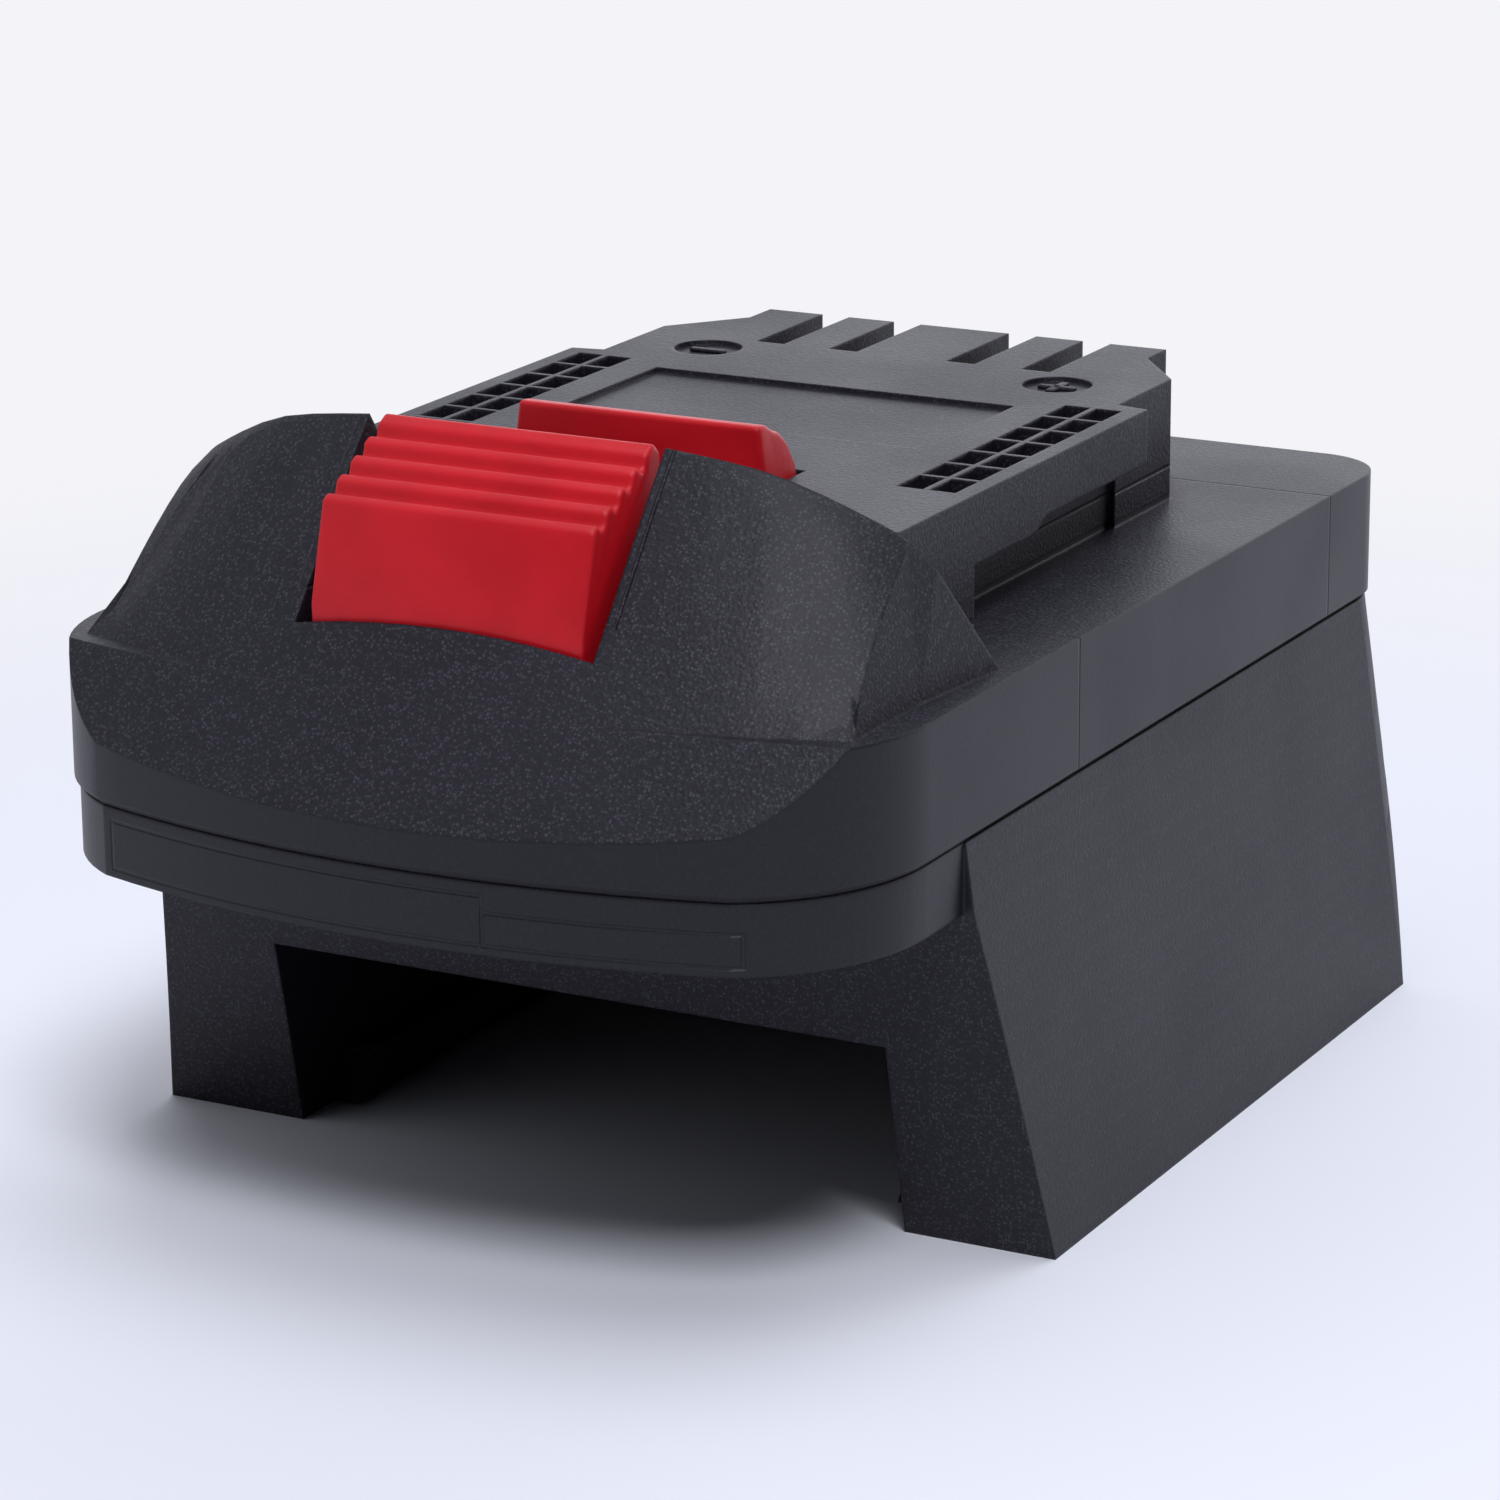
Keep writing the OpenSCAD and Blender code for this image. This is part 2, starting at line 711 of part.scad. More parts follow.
module lower_housing() {
  color("#26262b") {
    difference() {
      union() {
        difference() {
          lower_outside();
          lower_hollow();
          // battery channel, open at the front and below
          box(-channel_x, channel_x, front_y, channel_y2, -over, channel_h);
          // step of the inner block on each leg's front
          for (s = [-1, 1]) {
            intersection() {
              translate([s * (channel_x + leg_block_w / 2), 0, 0]) {
                side_prism([[front_y, -over], [front_y, lip_z], [leg_top_y, lip_z], [foot_y, -over]],
                  leg_block_w);
              }
              translate([-body_w, 0, 0]) {
                rotate([90, 0, 90]) {
                  linear_extrude(2 * body_w) {
                    difference() {
                      leg_side();
                      leg_side(leg_step);
                    }
                  }
                }
              }
            }
          }
        }
        // battery rails
        for (s = [-1, 1]) {
          translate([s * (channel_x - battery_rail_in / 2), 0, 0]) {
            side_prism([[foot_y + battery_rail_back, seam_groove], [channel_y2, seam_groove],
              [channel_y2, seam_groove + battery_rail_h],
              [foot_y + battery_rail_back + battery_rail_h, seam_groove + battery_rail_h]], battery_rail_in);
          }
        }
        // screw bosses, spring posts
        for (s = [-1, 1]) {
          translate([s * front_boss_x, front_boss_y, lip_z]) {
            cylinder(r = boss_r, h = lip_h);
          }
          translate([s * rear_boss_x, rear_boss_y, floor_z - over]) {
            cylinder(r = boss_r, h = lip_h);
          }
          translate([s * spring_x, spring_y, floor_z - over / 2]) {
            cylinder(r = spring_r - 2 * spring_wire_r - slide_gap, h = lip_h / 2 + over / 2);
          }
        }
      }
      // screw holes with recessed heads
      for (s = [-1, 1]) {
        translate([s * front_boss_x, front_boss_y, lip_z - over]) {
          cylinder(r = screw_r + screw_fit, h = lip_h + 2 * over);
          cylinder(r = screw_head_r + seat_gap, h = over + lip_h - wall);
        }
        translate([s * rear_boss_x, rear_boss_y, -over]) {
          cylinder(r = screw_r + screw_fit, h = seam_z + 2 * over);
          cylinder(r = screw_head_r + seat_gap, h = over + screw_top_z);
        }
      }
      // room for the blade tails
      for (x = [-blade_x, 0, blade_x]) {
        box(x - blade_t, x + blade_t, tail_y - blade_h / 2 - seat_gap, tail_y + blade_h / 2 + seat_gap,
          channel_h - over, roof_z + over);
      }
    }
  }
}

// Ribbed top of the button, drawn as a wavy line from front to rear
function rib_points() = [for (i = [0:button_ribs - 1]) for (p = [[0, 0], [0.4, 0], [0.6, 1], [0.85, 1]])
  let (t = (i + p[0]) / (button_ribs - 0.4))
  if (t > 0 && t < 1)
  [button_y1 + button_lean + t * button_top_l,
   button_top_z1 + t * (button_top_z2 - button_top_z1) - p[1] * button_rib_h]];

module latch() {
  color("#cc1c20") {
    side_prism(concat([[button_y1, latch_z], [button_y1, bend_z], [button_y1 + button_lean, button_top_z1]],
      rib_points(), [[button_y2 - button_rib_h, button_top_z2], [button_y2, button_top_z2 - button_rib_h],
      [button_y2, latch_z]]), 2 * button_x);
    box(-button_x + wall, button_x - wall, button_y2 - over, tongue_y1 + tongue_l / 3, latch_z, bridge_z2);
    // tongue with a sloping top and cut corners
    intersection() {
      side_prism([[tongue_y1, latch_z], [tongue_y1, deck_z + tongue_h],
        [tongue_y1 + tongue_l / 8, deck_z + tongue_h], [tongue_y2, deck_z + seam_groove], [tongue_y2, latch_z]],
        2 * tongue_x);
      translate([0, tongue_y2 + over, 0]) {
        rotate([90, 0, 0]) {
          linear_extrude(tongue_l + 2 * over) {
            polygon([[-tongue_x - over, latch_z - over], [-tongue_x - over, deck_z - tongue_cut],
              [-tongue_x, deck_z - tongue_cut], [-tongue_x + tongue_cut, deck_z + tongue_h + over],
              [tongue_x - tongue_cut, deck_z + tongue_h + over], [tongue_x, deck_z - tongue_cut],
              [tongue_x + over, deck_z - tongue_cut], [tongue_x + over, latch_z - over]]);
          }
        }
      }
    }
  }
}

// Closed tube of n-sided rings that follows a helix between two heights
function ring_at(a, z, r, w, sides) = [for (k = [0:sides - 1]) let (b = 360 * k / sides)
  [(r + w * cos(b)) * cos(a), (r + w * cos(b)) * sin(a), z + w * sin(b)]];
module coil(r, w, turns, z1, z2) {
  sides = 6;
  steps = 12 * turns;
  rise = z2 - z1 - 2 * w;
  points = [for (i = [0:steps]) each ring_at(i * 360 * turns / steps, z1 + w + rise * i / steps, r, w, sides)];
  faces = concat([[for (k = [0:sides - 1]) k]],
    [for (i = [0:steps - 1]) for (k = [0:sides - 1])
      [i * sides + k, (i + 1) * sides + k, (i + 1) * sides + (k + 1) % sides, i * sides + (k + 1) % sides]],
    [[for (k = [sides - 1:-1:0]) steps * sides + k]]);
  echo(least_gap_between_turns = rise / turns - 2 * w);
  polyhedron(points, faces);
}

module latch_spring(s) {
  color("#b9bcc2") {
    translate([s * spring_x, spring_y, 0]) {
      coil(spring_r - spring_wire_r, spring_wire_r, spring_turns, floor_z + seat_gap / 2, latch_z - seat_gap / 2);
    }
  }
}

// Forked clip with two leaves that grip a blade, its foot on the board
module contact(x) {
  y2 = block_y3 - wall / 2;
  y1 = y2 - contact_l;
  gap = slot_w - 2 * contact_t - 2 * seat_gap;
  z1 = board_top_z + seat_gap;
  z2 = min(slot_z + contact_h, deck_under_z - seat_gap);
  color("#c9a24a") {
    translate([x, 0, 0]) {
      for (s = [-1, 1]) {
        translate([s * (gap / 2 + contact_t / 2), 0, 0]) {
          box(-contact_t / 2, contact_t / 2, y1, y2, slot_z + seat_gap, z2);
        }
      }
      box(-gap / 2 - contact_t, gap / 2 + contact_t, y1, y1 + contact_t, z1, z2);
    }
  }
}

module contact_carrier() {
  y2 = block_y3 - wall - seat_gap;
  y1 = y2 - contact_l - wall / 2;
  color("#3a3a3e") {
    difference() {
      box(-block_rear_x + wall + seat_gap, block_rear_x - wall - seat_gap, y1, y2, board_top_z + seat_gap, slot_z - seat_gap);
      for (x = [-slot_x2, -slot_x1, slot_x1, slot_x2]) {
        box(x - slot_w / 2, x + slot_w / 2, block_y3 - wall / 2 - contact_l - seat_gap, y2 - wall, board_top_z, slot_z);
      }
    }
  }
}

module circuit_board() {
  color("#1f5a38") {
    difference() {
      box(-board_x + 2 * seat_gap + wall / 2, board_x - 2 * seat_gap - wall / 2, board_y1, board_y2, board_z, board_top_z - seat_gap / 2);
      for (s = [-1, 1]) {
        translate([s * board_boss_x, board_boss_y, board_z - over]) {
          cylinder(r = screw_r + screw_fit, h = 2 * over);
        }
      }
    }
  }
}

module terminal_holder() {
  color("#34343a") {
    difference() {
      box(-holder_x, holder_x, holder_y1, holder_y2, holder_z1, channel_h - seat_gap / 2);
      for (x = [-blade_x, 0, blade_x]) {
        box(x - blade_t / 2 - seat_gap, x + blade_t / 2 + seat_gap, holder_y1 - over, tail_y + blade_h / 2 + seat_gap,
          blade_z1 - seat_gap, blade_z1 + blade_h + seat_gap);
        box(x - blade_t / 2 - seat_gap, x + blade_t / 2 + seat_gap, tail_y - blade_h / 2 - seat_gap,
          tail_y + blade_h / 2 + seat_gap, blade_z1, channel_h + over);
      }
    }
  }
}

module blade(x) {
  color("#c8b070") {
    translate([x - blade_t / 2, 0, 0]) {
      rotate([90, 0, 90]) {
        linear_extrude(blade_t) {
          polygon([[blade_y1, blade_z1 + blade_t], [blade_y1 + blade_t, blade_z1], [tail_y + blade_h / 2, blade_z1],
            [tail_y + blade_h / 2, lead_z1], [tail_y - blade_h / 2, lead_z1], [tail_y - blade_h / 2, blade_z1 + blade_h],
            [blade_y1 + blade_t, blade_z1 + blade_h], [blade_y1, blade_z1 + blade_h - blade_t]]);
        }
      }
    }
  }
}

// Insulated lead from a blade's tail up to the board, with two bends
module lead(s, colour) {
  bend = 2 * lead_r;
  z0 = lead_z1 + seat_gap;
  z3 = board_z - seat_gap;
  z1 = (z0 + z3) / 2 - bend;
  y0 = tail_y;
  y3 = board_y2 - 2 * wall;
  color(colour) {
    translate([s * blade_x, 0, 0]) {
      translate([0, y0, z0]) {
        cylinder(r = lead_r, h = z1 - z0, $fn = 48);
      }
      translate([0, y0 - bend, z1]) {
        rotate([90, 0, 90]) {
          rotate_extrude(angle = 90, $fn = 48) {
            translate([bend, 0]) {
              circle(r = lead_r, $fn = 48);
            }
          }
        }
      }
      translate([0, y0 - bend, z1 + bend]) {
        rotate([90, 0, 0]) {
          cylinder(r = lead_r, h = y0 - y3 - 2 * bend, $fn = 48);
        }
      }
      translate([0, y3 + bend, z1 + 2 * bend]) {
        rotate([90, 0, 90]) {
          rotate([0, 0, 180]) {
            rotate_extrude(angle = 90, $fn = 48) {
              translate([bend, 0]) {
                circle(r = lead_r, $fn = 48);
              }
            }
          }
        }
      }
      translate([0, y3, z1 + 2 * bend]) {
        cylinder(r = lead_r, h = z3 - z1 - 2 * bend, $fn = 48);
      }
    }
  }
}

// Screw with a cross recess, head down
module screw(x, y, z, l) {
  recess = screw_r / 2;
  color("#8a8d92") {
    translate([x, y, z]) {
      difference() {
        union() {
          translate([0, 0, -screw_head_h]) {
            cylinder(r = screw_head_r, h = screw_head_h);
          }
          cylinder(r = screw_r, h = l);
        }
        for (a = [0, 90]) {
          rotate([0, 0, a]) {
            translate([-screw_r, -recess / 2, -screw_head_h - over]) {
              cube([2 * screw_r, recess, over + screw_head_h / 2]);
            }
          }
        }
      }
    }
  }
}

module spring_left() {
  latch_spring(-1);
}

module spring_right() {
  latch_spring(1);
}

module contact_signal() {
  contact(-slot_x2);
}

module contact_minus() {
  contact(-slot_x1);
}

module contact_sense() {
  contact(slot_x1);
}

module contact_plus() {
  contact(slot_x2);
}

module blade_minus() {
  blade(-blade_x);
}

module blade_plus() {
  blade(blade_x);
}

module blade_signal() {
  blade(0);
}

module lead_minus() {
  lead(-1, "#1c1c1e");
}

module lead_plus() {
  lead(1, "#b3161b");
}

module screw_front_left() {
  screw(-front_boss_x, front_boss_y, lip_z + lip_h - wall, screw_l - wall);
}

module screw_front_right() {
  screw(front_boss_x, front_boss_y, lip_z + lip_h - wall, screw_l - wall);
}

module screw_rear_left() {
  screw(-rear_boss_x, rear_boss_y, screw_top_z, screw_l - wall);
}

module screw_rear_right() {
  screw(rear_boss_x, rear_boss_y, screw_top_z, screw_l - wall);
}

module board_screw_left() {
  screw(-board_boss_x, board_boss_y, board_z - seat_gap, screw_l - wall);
}

module board_screw_right() {
  screw(board_boss_x, board_boss_y, board_z - seat_gap, screw_l - wall);
}

upper_housing();
lower_housing();
latch();
spring_left();
spring_right();
contact_carrier();
contact_signal();
contact_minus();
contact_sense();
contact_plus();
circuit_board();
terminal_holder();
blade_minus();
blade_plus();
blade_signal();
lead_minus();
lead_plus();
screw_front_left();
screw_front_right();
screw_rear_left();
screw_rear_right();
board_screw_left();
board_screw_right();
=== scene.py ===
"""Looks of a slide-on tool battery adapter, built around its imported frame.

Every solid keeps its place and gets its finish here. Two solids are replaced: the
upper shell by a copy with a softer hump, and the latch by a copy with rounded
edges. The polarity signs, the studio and the camera are modelled here as well.
"""
from __future__ import annotations

import json
import logging
import math
from dataclasses import dataclass, field
from enum import Enum

import bpy
from mathutils import Euler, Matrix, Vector

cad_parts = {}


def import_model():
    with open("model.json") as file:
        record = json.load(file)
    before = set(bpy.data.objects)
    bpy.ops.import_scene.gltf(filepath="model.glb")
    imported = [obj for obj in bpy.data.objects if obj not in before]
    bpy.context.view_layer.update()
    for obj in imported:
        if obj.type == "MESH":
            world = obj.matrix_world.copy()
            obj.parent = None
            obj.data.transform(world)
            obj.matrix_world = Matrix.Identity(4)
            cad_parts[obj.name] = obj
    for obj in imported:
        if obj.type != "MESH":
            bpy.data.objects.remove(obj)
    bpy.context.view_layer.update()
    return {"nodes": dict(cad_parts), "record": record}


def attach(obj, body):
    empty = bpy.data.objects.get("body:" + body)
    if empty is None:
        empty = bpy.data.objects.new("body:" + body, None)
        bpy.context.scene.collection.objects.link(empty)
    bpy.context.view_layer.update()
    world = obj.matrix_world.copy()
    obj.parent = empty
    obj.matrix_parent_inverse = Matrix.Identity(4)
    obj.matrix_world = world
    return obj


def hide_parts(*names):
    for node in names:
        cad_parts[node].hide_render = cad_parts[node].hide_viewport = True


Tree = bpy.types.NodeTree
Socket = bpy.types.NodeSocket
Span = tuple[float, float]
Triple = tuple[float, float, float]
Colour = tuple[float, float, float, float]

LOG = logging.getLogger("adapter")
MM = 0.001
# Points of a mesh that are closer than this, in millimetres, become one.
MERGE_MM = 0.001
# The sRGB curve: a straight start below the knee, then a power.
SRGB_KNEE = 0.04045
SRGB_START = 12.92
SRGB_LIFT = 0.055
SRGB_POWER = 2.4


def linear(code: str) -> Colour:
    """Turns an sRGB hex colour into linear light.

    Args:
        code: six hex digits with a leading #.

    Returns:
        Linear red, green and blue, and an alpha of 1.
    """
    red, green, blue = (
        part / SRGB_START
        if part <= SRGB_KNEE
        else ((part + SRGB_LIFT) / (1 + SRGB_LIFT)) ** SRGB_POWER
        for part in (int(code[i : i + 2], 16) / 0xFF for i in (1, 3, 5))
    )
    return (red, green, blue, 1.0)


def tinted(code: str, gains: Triple) -> Colour:
    """Gives an sRGB hex colour in linear light, each channel times its gain.

    Args:
        code: six hex digits with a leading #.
        gains: factors of red, green and blue.

    Returns:
        The changed colour, with an alpha of 1.
    """
    red, green, blue, alpha = linear(code)
    return (red * gains[0], green * gains[1], blue * gains[2], alpha)


def add_node(
    tree: Tree,
    kind: str,
    inputs: dict[str | int, object] | None = None,
    **settings: object,
) -> bpy.types.Node:
    """Adds a node, sets it up and links it.

    Args:
        tree: node tree that gets the node.
        kind: Blender's name for the type of node.
        inputs: for each input, a value or the output socket to link from.
        **settings: attributes of the node.

    Returns:
        The new node.
    """
    node = tree.nodes.new(kind)
    for name, value in settings.items():
        setattr(node, name, value)
    for name, value in (inputs or {}).items():
        if isinstance(value, Socket):
            tree.links.new(value, node.inputs[name])
        else:
            node.inputs[name].default_value = value
    return node


def ramp(
    tree: Tree, value: Socket, span: Span, results: Span = (0.0, 1.0)
) -> Socket:
    """Maps a value smoothly from one span to another.

    Args:
        tree: node tree that gets the node.
        value: socket to map.
        span: values between which the result changes.
        results: result up to the first of them and from the second on.

    Returns:
        The socket with the mapped value.
    """
    node = add_node(
        tree,
        "ShaderNodeMapRange",
        {"Value": value, 1: span[0], 2: span[1], 3: results[0], 4: results[1]},
        interpolation_type="SMOOTHSTEP",
    )
    return node.outputs[0]


def combine(
    tree: Tree, operation: str, first: Socket | float, second: Socket | float = 0.0
) -> Socket:
    """Joins two values with an arithmetic operation.

    Args:
        tree: node tree that gets the node.
        operation: name of the operation, such as MULTIPLY.
        first: first value or socket.
        second: second value or socket, which ABSOLUTE doesn't need.

    Returns:
        The socket with the result.
    """
    node = add_node(tree, "ShaderNodeMath", {0: first, 1: second}, operation=operation)
    return node.outputs[0]


def noise(tree: Tree, place: Socket, size_mm: float, detail: float) -> Socket:
    """Makes a soft noise.

    Args:
        tree: node tree that gets the node.
        place: socket with the place in millimetres.
        size_mm: size of the noise's patches.
        detail: number of finer layers on top of it.

    Returns:
        The socket with the noise.
    """
    node = add_node(
        tree,
        "ShaderNodeTexNoise",
        {"Vector": place, "Scale": 1 / size_mm, "Detail": detail},
    )
    return node.outputs[0]


def roughen(
    tree: Tree,
    shader: bpy.types.Node,
    height: Socket,
    depth_mm: float,
    normal: Socket | None = None,
) -> None:
    """Gives a shader's surface a relief.

    Args:
        tree: node tree of the material.
        shader: its principled shader.
        height: socket with the height.
        depth_mm: depth of a height of 1.
        normal: socket with the normal below the relief, if it isn't the mesh's.
    """
    inputs: dict[str | int, object] = {"Height": height, "Distance": depth_mm * MM}
    if normal is not None:
        inputs["Normal"] = normal
    bump = add_node(tree, "ShaderNodeBump", inputs)
    tree.links.new(bump.outputs[0], shader.inputs["Normal"])


def mix_colours(
    tree: Tree, share: Socket, first: Socket | Colour, second: Socket | Colour
) -> Socket:
    """Mixes two colours.

    Args:
        tree: node tree that gets the node.
        share: socket with the second colour's share.
        first: first colour or its socket.
        second: second colour or its socket.

    Returns:
        The socket with the mixed colour.
    """
    node = add_node(
        tree, "ShaderNodeMix", {0: share, 6: first, 7: second}, data_type="RGBA"
    )
    return node.outputs[2]


def blank_material(name: str) -> tuple[bpy.types.Material, bpy.types.Node]:
    """Makes a material that holds one principled shader.

    Args:
        name: name of the material.

    Returns:
        The material and its shader node.
    """
    material = bpy.data.materials.new(name)
    material.use_nodes = True
    tree = material.node_tree
    tree.nodes.clear()
    shader = add_node(tree, "ShaderNodeBsdfPrincipled")
    add_node(tree, "ShaderNodeOutputMaterial", {"Surface": shader.outputs["BSDF"]})
    return material, shader


@dataclass(frozen=True)
class Panel:
    """Box in millimetres that bounds a patch left by a separate mould insert."""

    low: Triple
    high: Triple


@dataclass(frozen=True)
class Clouds:
    """Slow change of a material's tone."""

    size_mm: float
    detail: float
    # Values of the noise that give the dark and the pale tone, and their factors.
    span: Span
    dark: Triple
    pale: Triple

    def form(self, tree: Tree, place: Socket) -> Socket:
        """Makes the noise that shapes the clouds.

        Args:
            tree: node tree of the material.
            place: socket with the place in millimetres.

        Returns:
            The socket with the noise.
        """
        return noise(tree, place, self.size_mm, self.detail)

    def colour(self, tree: Tree, cloud: Socket, code: str) -> Socket:
        """Spreads the dark and the pale tone of a colour over the clouds.

        Args:
            tree: node tree of the material.
            cloud: socket with the clouds' noise.
            code: sRGB hex colour.

        Returns:
            The socket with the colour.
        """
        share = ramp(tree, cloud, self.span)
        return mix_colours(
            tree, share, tinted(code, self.dark), tinted(code, self.pale)
        )


@dataclass(frozen=True)
class Finish:
    """Surface of one material, named for the stuff and the way it was made."""

    name: str
    colour: str
    roughness: float
    ior: float = 1.5
    metallic: float = 0.0
    specular: float = 0.5

    def build(self) -> bpy.types.Material:
        """Makes the material.

        Returns:
            The material with its base values and its pattern.
        """
        material, shader = blank_material(self.name)
        shader.inputs["Base Color"].default_value = linear(self.colour)
        shader.inputs["Roughness"].default_value = self.roughness
        shader.inputs["IOR"].default_value = self.ior
        shader.inputs["Specular IOR Level"].default_value = self.specular
        shader.inputs["Metallic"].default_value = self.metallic
        self.dress(material.node_tree, shader)
        return material

    def dress(self, tree: Tree, shader: bpy.types.Node) -> None:
        """Adds the pattern; the plain finish has none.

        Args:
            tree: node tree of the material.
            shader: its principled shader.
        """

    def places(self, tree: Tree) -> Socket:
        """Gives the place on the object in millimetres.

        Args:
            tree: node tree of the material.

        Returns:
            The socket with the place.
        """
        coord = add_node(tree, "ShaderNodeTexCoord")
        scale = add_node(
            tree,
            "ShaderNodeMapping",
            {"Vector": coord.outputs["Object"], "Scale": (1 / MM, 1 / MM, 1 / MM)},
        )
        return scale.outputs[0]


@dataclass(frozen=True)
class ErodedNylon(Finish):
    """Glass-filled nylon from a spark-eroded mould: a fine grain, and pale glints
    painted into the colour where the grain would catch the light.

    Walls that face sideways came from a polished part of the mould, so they are
    smoother, and inserts in the mould leave faint outlines.
    """

    # Grain: its size, its depth, its finer layers, and its share on smooth walls
    # and elsewhere.
    grain_mm: float = 0.3
    grain_depth_mm: float = 0.05
    grain_detail: float = 2.0
    grain_shares: Span = (0.22, 1.0)
    # Painted glints, pale dots in the base colour that stand in for light caught by
    # the grain: their colour and distance, the lot from which one shows and from which
    # it does in full, how far into its cell it reaches, and its share as above.
    painted_glint: str = "#43424d"
    glint_mm: float = 0.25
    glint_luck: Span = (0.15, 0.95)
    glint_reach: Span = (0.2, 0.6)
    glint_shares: Span = (0.12, 0.8)
    # Soft edges: their radius and the number of rays that look for an edge.
    edge_mm: float = 0.35
    edge_samples: int = 4
    # Smooth walls: the height where they end, the way over which they do, and the
    # upright part of the normal on them and elsewhere.
    smooth_top_mm: float = 43.6
    smooth_fade_mm: float = 0.3
    tilt_span: Span = (0.08, 0.2)
    # Outlines of the inserts: half the width of a groove at its bottom and its
    # mouth, and its depth in depths of the grain.
    panels: tuple[Panel, ...] = ()
    groove_span_mm: Span = (0.05, 0.2)
    groove_depth: float = 2.5
    clouds: Clouds = Clouds(
        14.0, 3.0, (0.3, 0.7), (0.92, 0.92, 0.92), (1.08, 1.08, 1.08)
    )
    # How much smoother the smooth walls are, and how far roughness strays.
    polish: float = 0.1
    wander: float = 0.03

    def dress(self, tree: Tree, shader: bpy.types.Node) -> None:
        """Adds grain, painted glints, soft edges and insert outlines.

        Args:
            tree: node tree of the material.
            shader: its principled shader.
        """
        place = self.places(tree)
        textured = self.textured_share(tree, place)
        height = combine(
            tree,
            "MULTIPLY",
            noise(tree, place, self.grain_mm, self.grain_detail),
            ramp(tree, textured, (0.0, 1.0), self.grain_shares),
        )
        height = combine(tree, "SUBTRACT", height, self.outlines(tree, place))
        rounded = add_node(
            tree,
            "ShaderNodeBevel",
            {"Radius": self.edge_mm * MM},
            samples=self.edge_samples,
        )
        roughen(tree, shader, height, self.grain_depth_mm, rounded.outputs[0])
        self.colour_in(tree, shader, place, textured)

    def textured_share(self, tree: Tree, place: Socket) -> Socket:
        """Tells the grained surfaces from the smooth upright walls.

        Args:
            tree: node tree of the material.
            place: socket with the place in millimetres.

        Returns:
            A socket that is 1 on grained surfaces and 0 on smooth ones.
        """
        shape = add_node(tree, "ShaderNodeNewGeometry")
        facing = add_node(
            tree, "ShaderNodeSeparateXYZ", {0: shape.outputs["True Normal"]}
        )
        axes = add_node(tree, "ShaderNodeSeparateXYZ", {0: place})
        upright = combine(tree, "ABSOLUTE", facing.outputs[2])
        tilt = ramp(tree, upright, self.tilt_span)
        fade = (self.smooth_top_mm, self.smooth_top_mm + self.smooth_fade_mm)
        return combine(tree, "MAXIMUM", tilt, ramp(tree, axes.outputs[2], fade))

    def outlines(self, tree: Tree, place: Socket) -> Socket | float:
        """Draws the fine grooves round the mould inserts.

        Args:
            tree: node tree of the material.
            place: socket with the place in millimetres.

        Returns:
            A socket with the depth of the grooves, or 0 if there are none.
        """
        total: Socket | float = 0.0
        for panel in self.panels:
            middle = [(a + b) / 2 for a, b in zip(panel.low, panel.high)]
            half = [(b - a) / 2 for a, b in zip(panel.low, panel.high)]
            over = place
            for operation, inputs in (
                ("SUBTRACT", {1: middle}),
                ("ABSOLUTE", {}),
                ("SUBTRACT", {1: half}),
            ):
                over = add_node(
                    tree,
                    "ShaderNodeVectorMath",
                    {0: over, **inputs},
                    operation=operation,
                ).outputs[0]
            axes = add_node(tree, "ShaderNodeSeparateXYZ", {0: over})
            edge = combine(tree, "MAXIMUM", axes.outputs[0], axes.outputs[1])
            edge = combine(tree, "MAXIMUM", edge, axes.outputs[2])
            line = ramp(
                tree,
                combine(tree, "ABSOLUTE", edge),
                self.groove_span_mm,
                (self.groove_depth, 0.0),
            )
            total = combine(tree, "ADD", total, line)
        return total

    def colour_in(
        self, tree: Tree, shader: bpy.types.Node, place: Socket, textured: Socket
    ) -> None:
        """Colours the base with slow clouds and painted pale glints, and sets the
        sheen.

        Args:
            tree: node tree of the material.
            shader: its principled shader.
            place: socket with the place in millimetres.
            textured: socket that is 1 on grained surfaces.
        """
        # Painted glints: pale dots mixed into the base colour, standing in for light
        # caught by the grain.
        cells = add_node(
            tree,
            "ShaderNodeTexVoronoi",
            {"Vector": place, "Scale": 1 / self.glint_mm},
        )
        lot = add_node(tree, "ShaderNodeSeparateColor", {0: cells.outputs["Color"]})
        chosen = ramp(tree, lot.outputs[0], self.glint_luck)
        close = ramp(tree, cells.outputs["Distance"], self.glint_reach, (1.0, 0.0))
        painted_glint = combine(tree, "MULTIPLY", chosen, close)
        seen = ramp(tree, textured, (0.0, 1.0), self.glint_shares)
        painted_glint = combine(tree, "MULTIPLY", painted_glint, seen)
        cloud = self.clouds.form(tree, place)
        base = self.clouds.colour(tree, cloud, self.colour)
        dotted = mix_colours(tree, painted_glint, base, linear(self.painted_glint))
        tree.links.new(dotted, shader.inputs["Base Color"])
        sheens = (self.roughness - self.polish, self.roughness)
        sheen = ramp(tree, textured, (0.0, 1.0), sheens)
        stray = ramp(tree, cloud, self.clouds.span, (-self.wander, self.wander))
        tree.links.new(combine(tree, "ADD", sheen, stray), shader.inputs["Roughness"])


